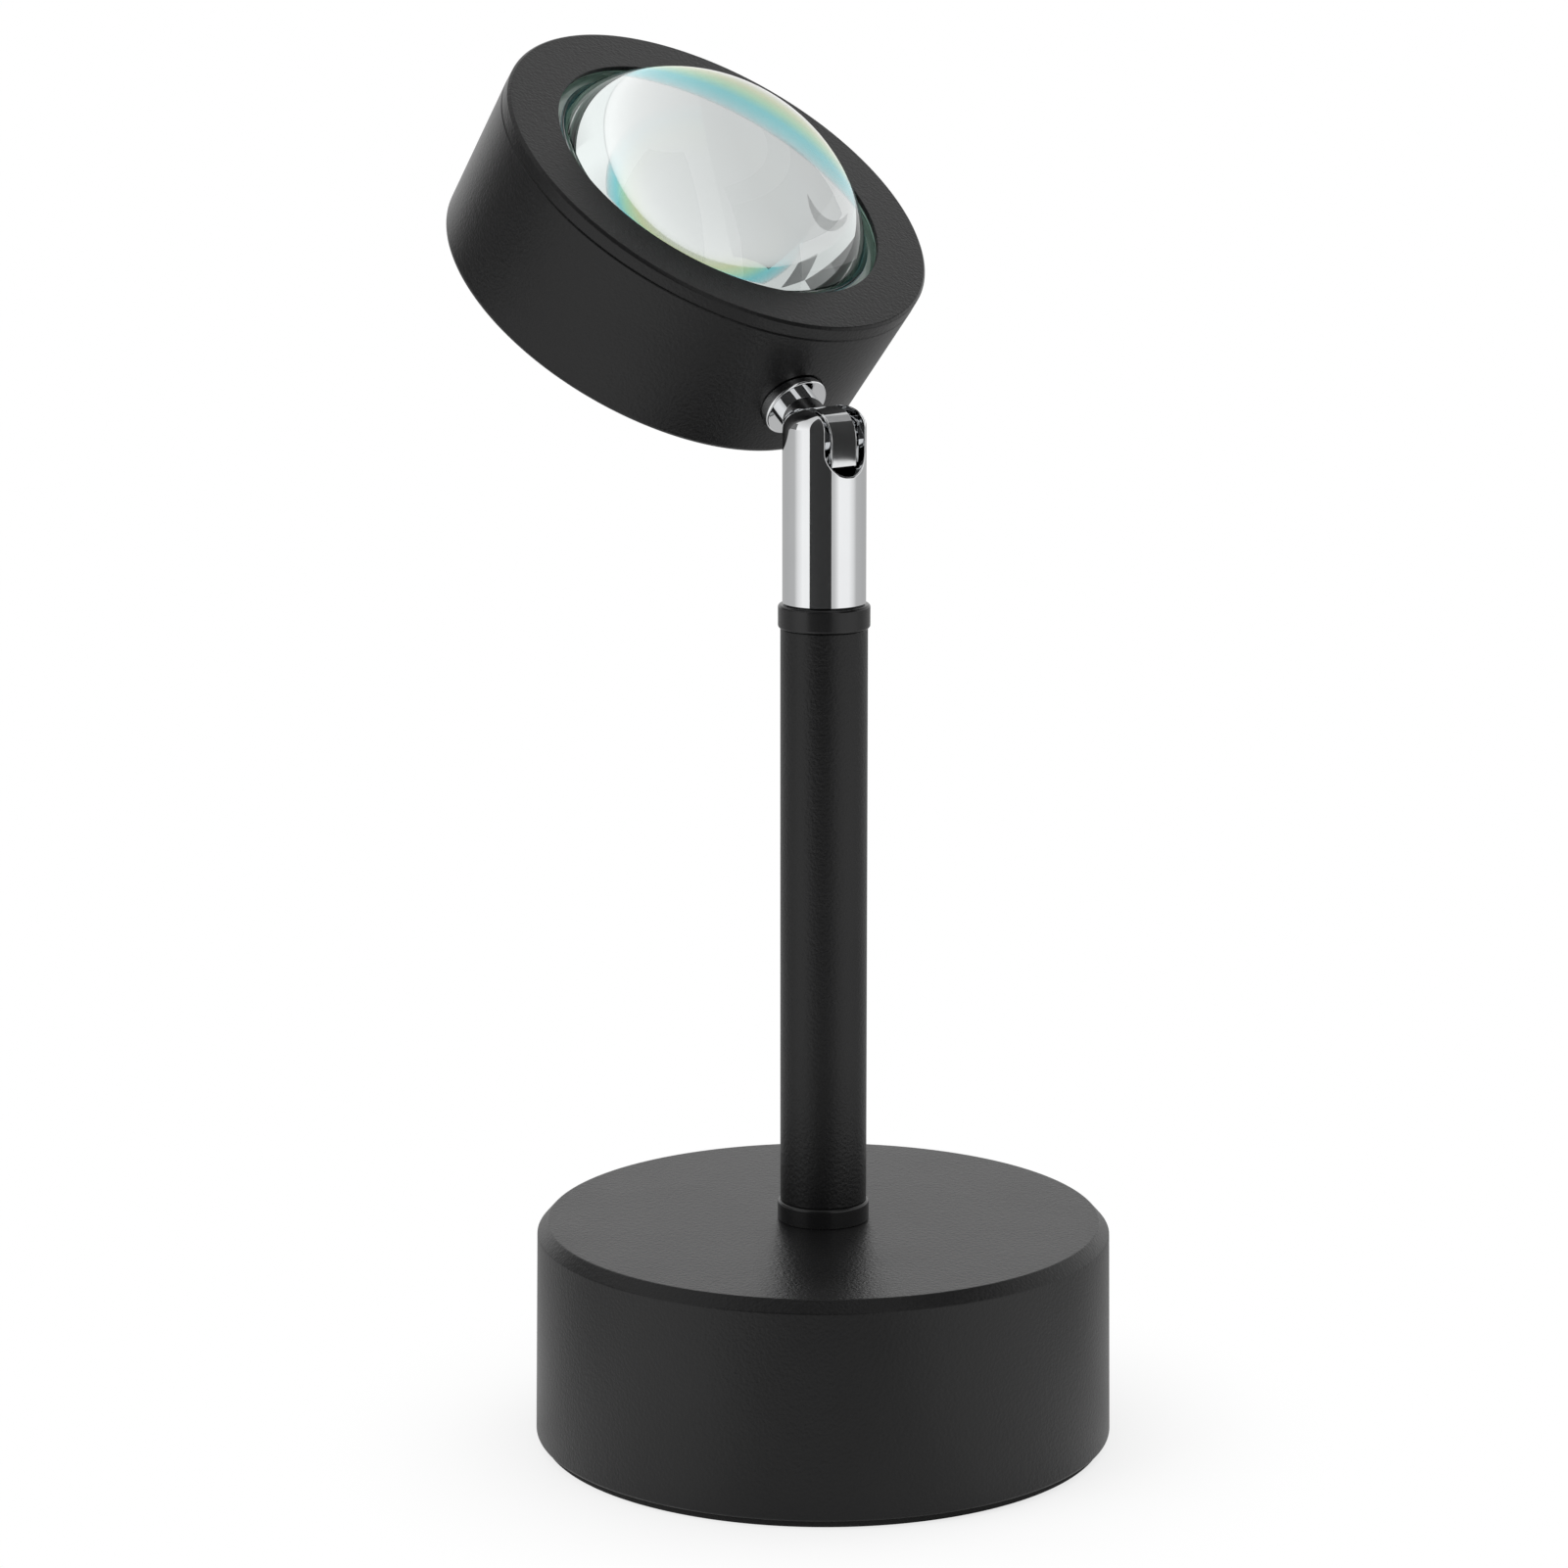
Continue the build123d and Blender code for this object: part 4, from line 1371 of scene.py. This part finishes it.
@dataclass(frozen=True)
class SoftBox:
    """A large square lamp with a soft light.

    Attributes:
        name: the lamp's name.
        place: where it hangs, in metres.
        power: its power in watts.
        size: its side in metres.
    """

    name: str
    place: tuple[float, float, float]
    power: float
    size: float = 0.9


def bent_path(
    distance: float, begin: float, end: float, centre: tuple[float, float] = (0.0, 0.0), steps: int = 24
) -> tuple[tuple[float, float], ...]:
    """Plan of a card that is bent round the stem, or round another centre.

    Args:
        distance: how far it stands from the centre.
        begin: where it begins, in degrees from +X.
        end: where it ends.
        centre: what it is bent round, the stem's axis if not given.
        steps: faces along the bend.

    Returns:
        Points in plan.
    """
    points = []
    for step in range(steps + 1):
        turn = math.radians(begin + (end - begin) * step / steps)
        points.append((centre[0] + distance * math.cos(turn), centre[1] + distance * math.sin(turn)))
    return tuple(points)


def overhead(name: str, path: tuple[tuple[float, float], ...], tone: float) -> Card:
    """A card lying overhead, with its outline in plan, that shows through glass alone."""
    return Card(name, path, (OVERHEAD,), tone, metal=False, glass=True)


def aimed(place: Sequence[float], direction: Sequence[float]) -> Matrix:
    """Frame of a lamp or camera at a place in metres, which looks in a direction."""
    return Matrix.Translation(place) @ Vector(direction).to_track_quat("-Z", "Y").to_matrix().to_4x4()


@dataclass
class Studio:
    """A pale floor, soft light, cards for the metal, paint and glass to show, and the camera, in metres.

    Attributes:
        eye: the camera's place.
        look: the direction in which it looks.
        focal: focal length in millimetres.
        sensor: the sensor's width in millimetres.
        floor_radius: radius of the floor.
        floor_sides: sides of its outline.
        paper: the floor's grey.
        fade: distances between which the floor runs out into white for the camera.
        mirror_fade: the same for what metal and glass see of it.
        level: strength of the even light on the lamp.
        sky: greys that metal and glass see above the floor, by the height of the direction they look in.
        sweep: greys that they see on the floor, from the camera's side, 0, to the far side, 1.
        sweep_turn: how far the sweep is turned to the left.
        aim: what the soft lamps are aimed at.
        soft_boxes: the soft lamps.
        cards: the cards around the lamp.
    """

    eye: tuple[float, float, float] = (-0.4721, -0.5978, 0.2597)
    look: tuple[float, float, float] = (0.6010, 0.7737, -0.2002)
    focal: float = 116.48
    sensor: float = 36.0
    floor_radius: float = 3.0
    floor_sides: int = 96
    paper: float = 0.93
    fade: tuple[float, float] = (-0.04, 0.085)
    mirror_fade: tuple[float, float] = (-0.02, 0.16)
    level: float = 0.62
    sky: tuple = ((0.10, 1.0), (0.35, 0.82), (0.75, 0.64))
    sweep: tuple = (
        (0.0, 0.5), (0.04, 0.6), (0.1, 1.0), (0.3, 1.0), (0.44, 0.78), (0.54, 0.50), (0.80, 0.46),
    )
    sweep_turn: float = math.radians(4.0)
    aim: tuple[float, float, float] = (0.0, 0.0, 0.1)
    soft_boxes: tuple[SoftBox, ...] = (
        SoftBox("left_softbox", (-1.1, 0.2, 1.0), 8.0),
        SoftBox("right_softbox", (1.2, 0.1, 0.9), 6.0),
    )
    cards: tuple[Card, ...] = (
        Card("dark_card", bent_path(0.55, -168.8, -108.8), (0.0, 2.0), 0.015, glass=True),
        Card("left_wall", bent_path(0.9, 96.0, 150.0), (0.12, 0.55), 0.17),
        Card("hinge_flag", bent_path(FLAG_DISTANCE, -88.0, -42.0), (0.1372, FLAG_TOP), 0.02),
        Card("hinge_flag_side", bent_path(FLAG_DISTANCE, -42.0, 8.0), (0.2077, FLAG_TOP), 0.02),
        Card("hinge_flag_top", bent_path(FLAG_DISTANCE, -88.0, 8.0), (FLAG_TOP, 0.348), 0.3),
        overhead("glass_wedge", ((-0.87, 0.06), (-0.51, 0.245), (-0.27, 0.2), (-0.58, 0.035)), 0.19),
        overhead("glass_side", ((-0.51, 0.25), (-1.75, 0.3), (-1.75, 0.9), (-0.45, 0.9)), 0.15),
        overhead(
            "glass_cup",
            bent_path(0.34, 3.0, 130.0, (0.08, 0.4)) + bent_path(0.376, 125.0, 30.0, (0.084, 0.234)),
            0.5,
        ),
    )

    def build(self) -> None:
        """Sets up the whole studio."""
        self.world()
        self.floor()
        self.lamps()
        self.stand_cards()
        self.camera()

    @staticmethod
    def greys(stops: Sequence[tuple[float, float]]) -> list[tuple]:
        """Turns pairs of a place and a grey into stops of a ramp."""
        return [(place, (tone, tone, tone)) for place, tone in stops]

    @staticmethod
    def rays(sheet: Sheet) -> tuple[Socket, Socket]:
        """Tells apart who sees a surface.

        Args:
            sheet: the node tree that asks.

        Returns:
            Whether the camera sees it, and whether metal or glass does.
        """
        path = sheet.add("ShaderNodeLightPath").outputs
        mirrored = sheet.math("MAXIMUM", path["Is Glossy Ray"], path["Is Transmission Ray"])
        return path["Is Camera Ray"], mirrored

    @staticmethod
    def faded(sheet: Sheet, far: Socket, ends: tuple[float, float]) -> Socket:
        """Rises softly from 0 to 1 while the distance passes from one end to the other."""
        rise = {"Value": far, "From Min": ends[0], "From Max": ends[1]}
        return sheet.add("ShaderNodeMapRange", rise, interpolation_type="SMOOTHSTEP").outputs["Result"]

    def world(self) -> None:
        """Lights the lamp evenly, and shows white to the camera and a graded white to metal and glass."""
        world = bpy.data.worlds.new("studio")
        bpy.context.scene.world = world
        world.use_nodes = True
        sheet = Sheet(world.node_tree)
        camera, mirrored = self.rays(sheet)
        direction = sheet.add("ShaderNodeTexCoord").outputs["Generated"]
        height = sheet.add("ShaderNodeSeparateXYZ", {0: direction}).outputs["Z"]
        sky = sheet.tint(height, self.greys(self.sky))
        light = sheet.add("ShaderNodeBackground", {"Color": grey(1.0), "Strength": self.level})
        around = sheet.add("ShaderNodeBackground", {"Color": sky})
        white = sheet.add("ShaderNodeBackground", {"Color": grey(1.0)})
        lit = sheet.mix(mirrored, light.outputs[0], around.outputs[0])
        sheet.add("ShaderNodeOutputWorld", {"Surface": sheet.mix(camera, lit, white.outputs[0])})

    def floor(self) -> None:
        """Lays a white disc that holds the lamp's shadow and runs out into white."""
        work = bmesh.new()
        bmesh.ops.create_circle(work, cap_ends=True, radius=self.floor_radius, segments=self.floor_sides)
        mesh = bpy.data.meshes.new("pale_floor")
        work.to_mesh(mesh)
        work.free()
        material = bpy.data.materials.new("pale_floor")
        material.use_nodes = True
        sheet = Sheet(material.node_tree)
        camera, mirrored = self.rays(sheet)
        place = sheet.add("ShaderNodeTexCoord").outputs["Object"]
        far = sheet.add("ShaderNodeVectorMath", {0: place}, operation="LENGTH").outputs["Value"]
        bearing = sheet.add("ShaderNodeVectorMath", {0: place}, operation="NORMALIZE").outputs["Vector"]
        ahead = Matrix.Rotation(self.sweep_turn, 3, "Z") @ Vector((*self.look[:2], 0)).normalized()
        away = sheet.add("ShaderNodeVectorMath", {0: bearing, 1: ahead}, operation="DOT_PRODUCT")
        share = sheet.math("MULTIPLY_ADD", away.outputs["Value"], 0.5, 0.5)
        sweep = sheet.tint(share, self.greys(self.sweep))
        paper = sheet.add("ShaderNodeBsdfDiffuse", {"Color": grey(self.paper)})
        white = sheet.add("ShaderNodeEmission")
        around = sheet.add("ShaderNodeEmission", {"Color": sweep})
        white_share = sheet.math("MULTIPLY", camera, self.faded(sheet, far, self.fade))
        mirror_share = sheet.math("MULTIPLY", mirrored, self.faded(sheet, far, self.mirror_fade))
        plain = sheet.mix(white_share, paper.outputs[0], white.outputs[0])
        mixed = sheet.mix(mirror_share, plain, around.outputs[0])
        sheet.add("ShaderNodeOutputMaterial", {"Surface": mixed})
        mesh.materials.append(material)
        new_object("pale_floor", mesh)

    def lamps(self) -> None:
        """Hangs the soft lamps, which metal and glass don't show."""
        for box in self.soft_boxes:
            lamp = bpy.data.lights.new(box.name, "AREA")
            lamp.size = box.size
            lamp.energy = box.power
            holder = new_object(box.name, lamp)
            holder.visible_glossy = False
            holder.visible_transmission = False
            holder.matrix_world = aimed(box.place, Vector(self.aim) - Vector(box.place))

    def stand_cards(self) -> None:
        """Stands the cards, which neither the camera nor the soft light sees."""
        for card in self.cards:
            mesh = card.mesh()
            material = bpy.data.materials.new(card.name)
            material.use_nodes = True
            shader = material.node_tree.nodes["Principled BSDF"]
            shader.inputs["Base Color"].default_value = grey(card.tone)
            mesh.materials.append(material)
            sheet = new_object(card.name, mesh)
            sheet.visible_camera = False
            sheet.visible_diffuse = False
            sheet.visible_shadow = False
            sheet.visible_glossy = card.metal
            sheet.visible_transmission = card.glass

    def camera(self) -> None:
        """Sets the camera at the photograph's viewing angle."""
        data = bpy.data.cameras.new("camera")
        data.lens = self.focal
        data.sensor_width = self.sensor
        camera = new_object("camera", data)
        camera.matrix_world = aimed(self.eye, self.look)
        bpy.context.scene.camera = camera


def main() -> None:
    """Builds the lamp around its frame, then the studio."""
    logging.basicConfig(level=logging.INFO, format="%(name)s %(message)s")
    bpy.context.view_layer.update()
    bpy.context.scene.view_settings.view_transform = "Standard"
    shop = Shop()
    shop.dress_nodes(frame["nodes"], frame["record"])
    for assembly in (Stand(shop), Swivel(shop), Head(shop), Studio()):
        LOG.info("building %s", type(assembly).__name__)
        assembly.build()


if __name__ == "__main__":
    main()
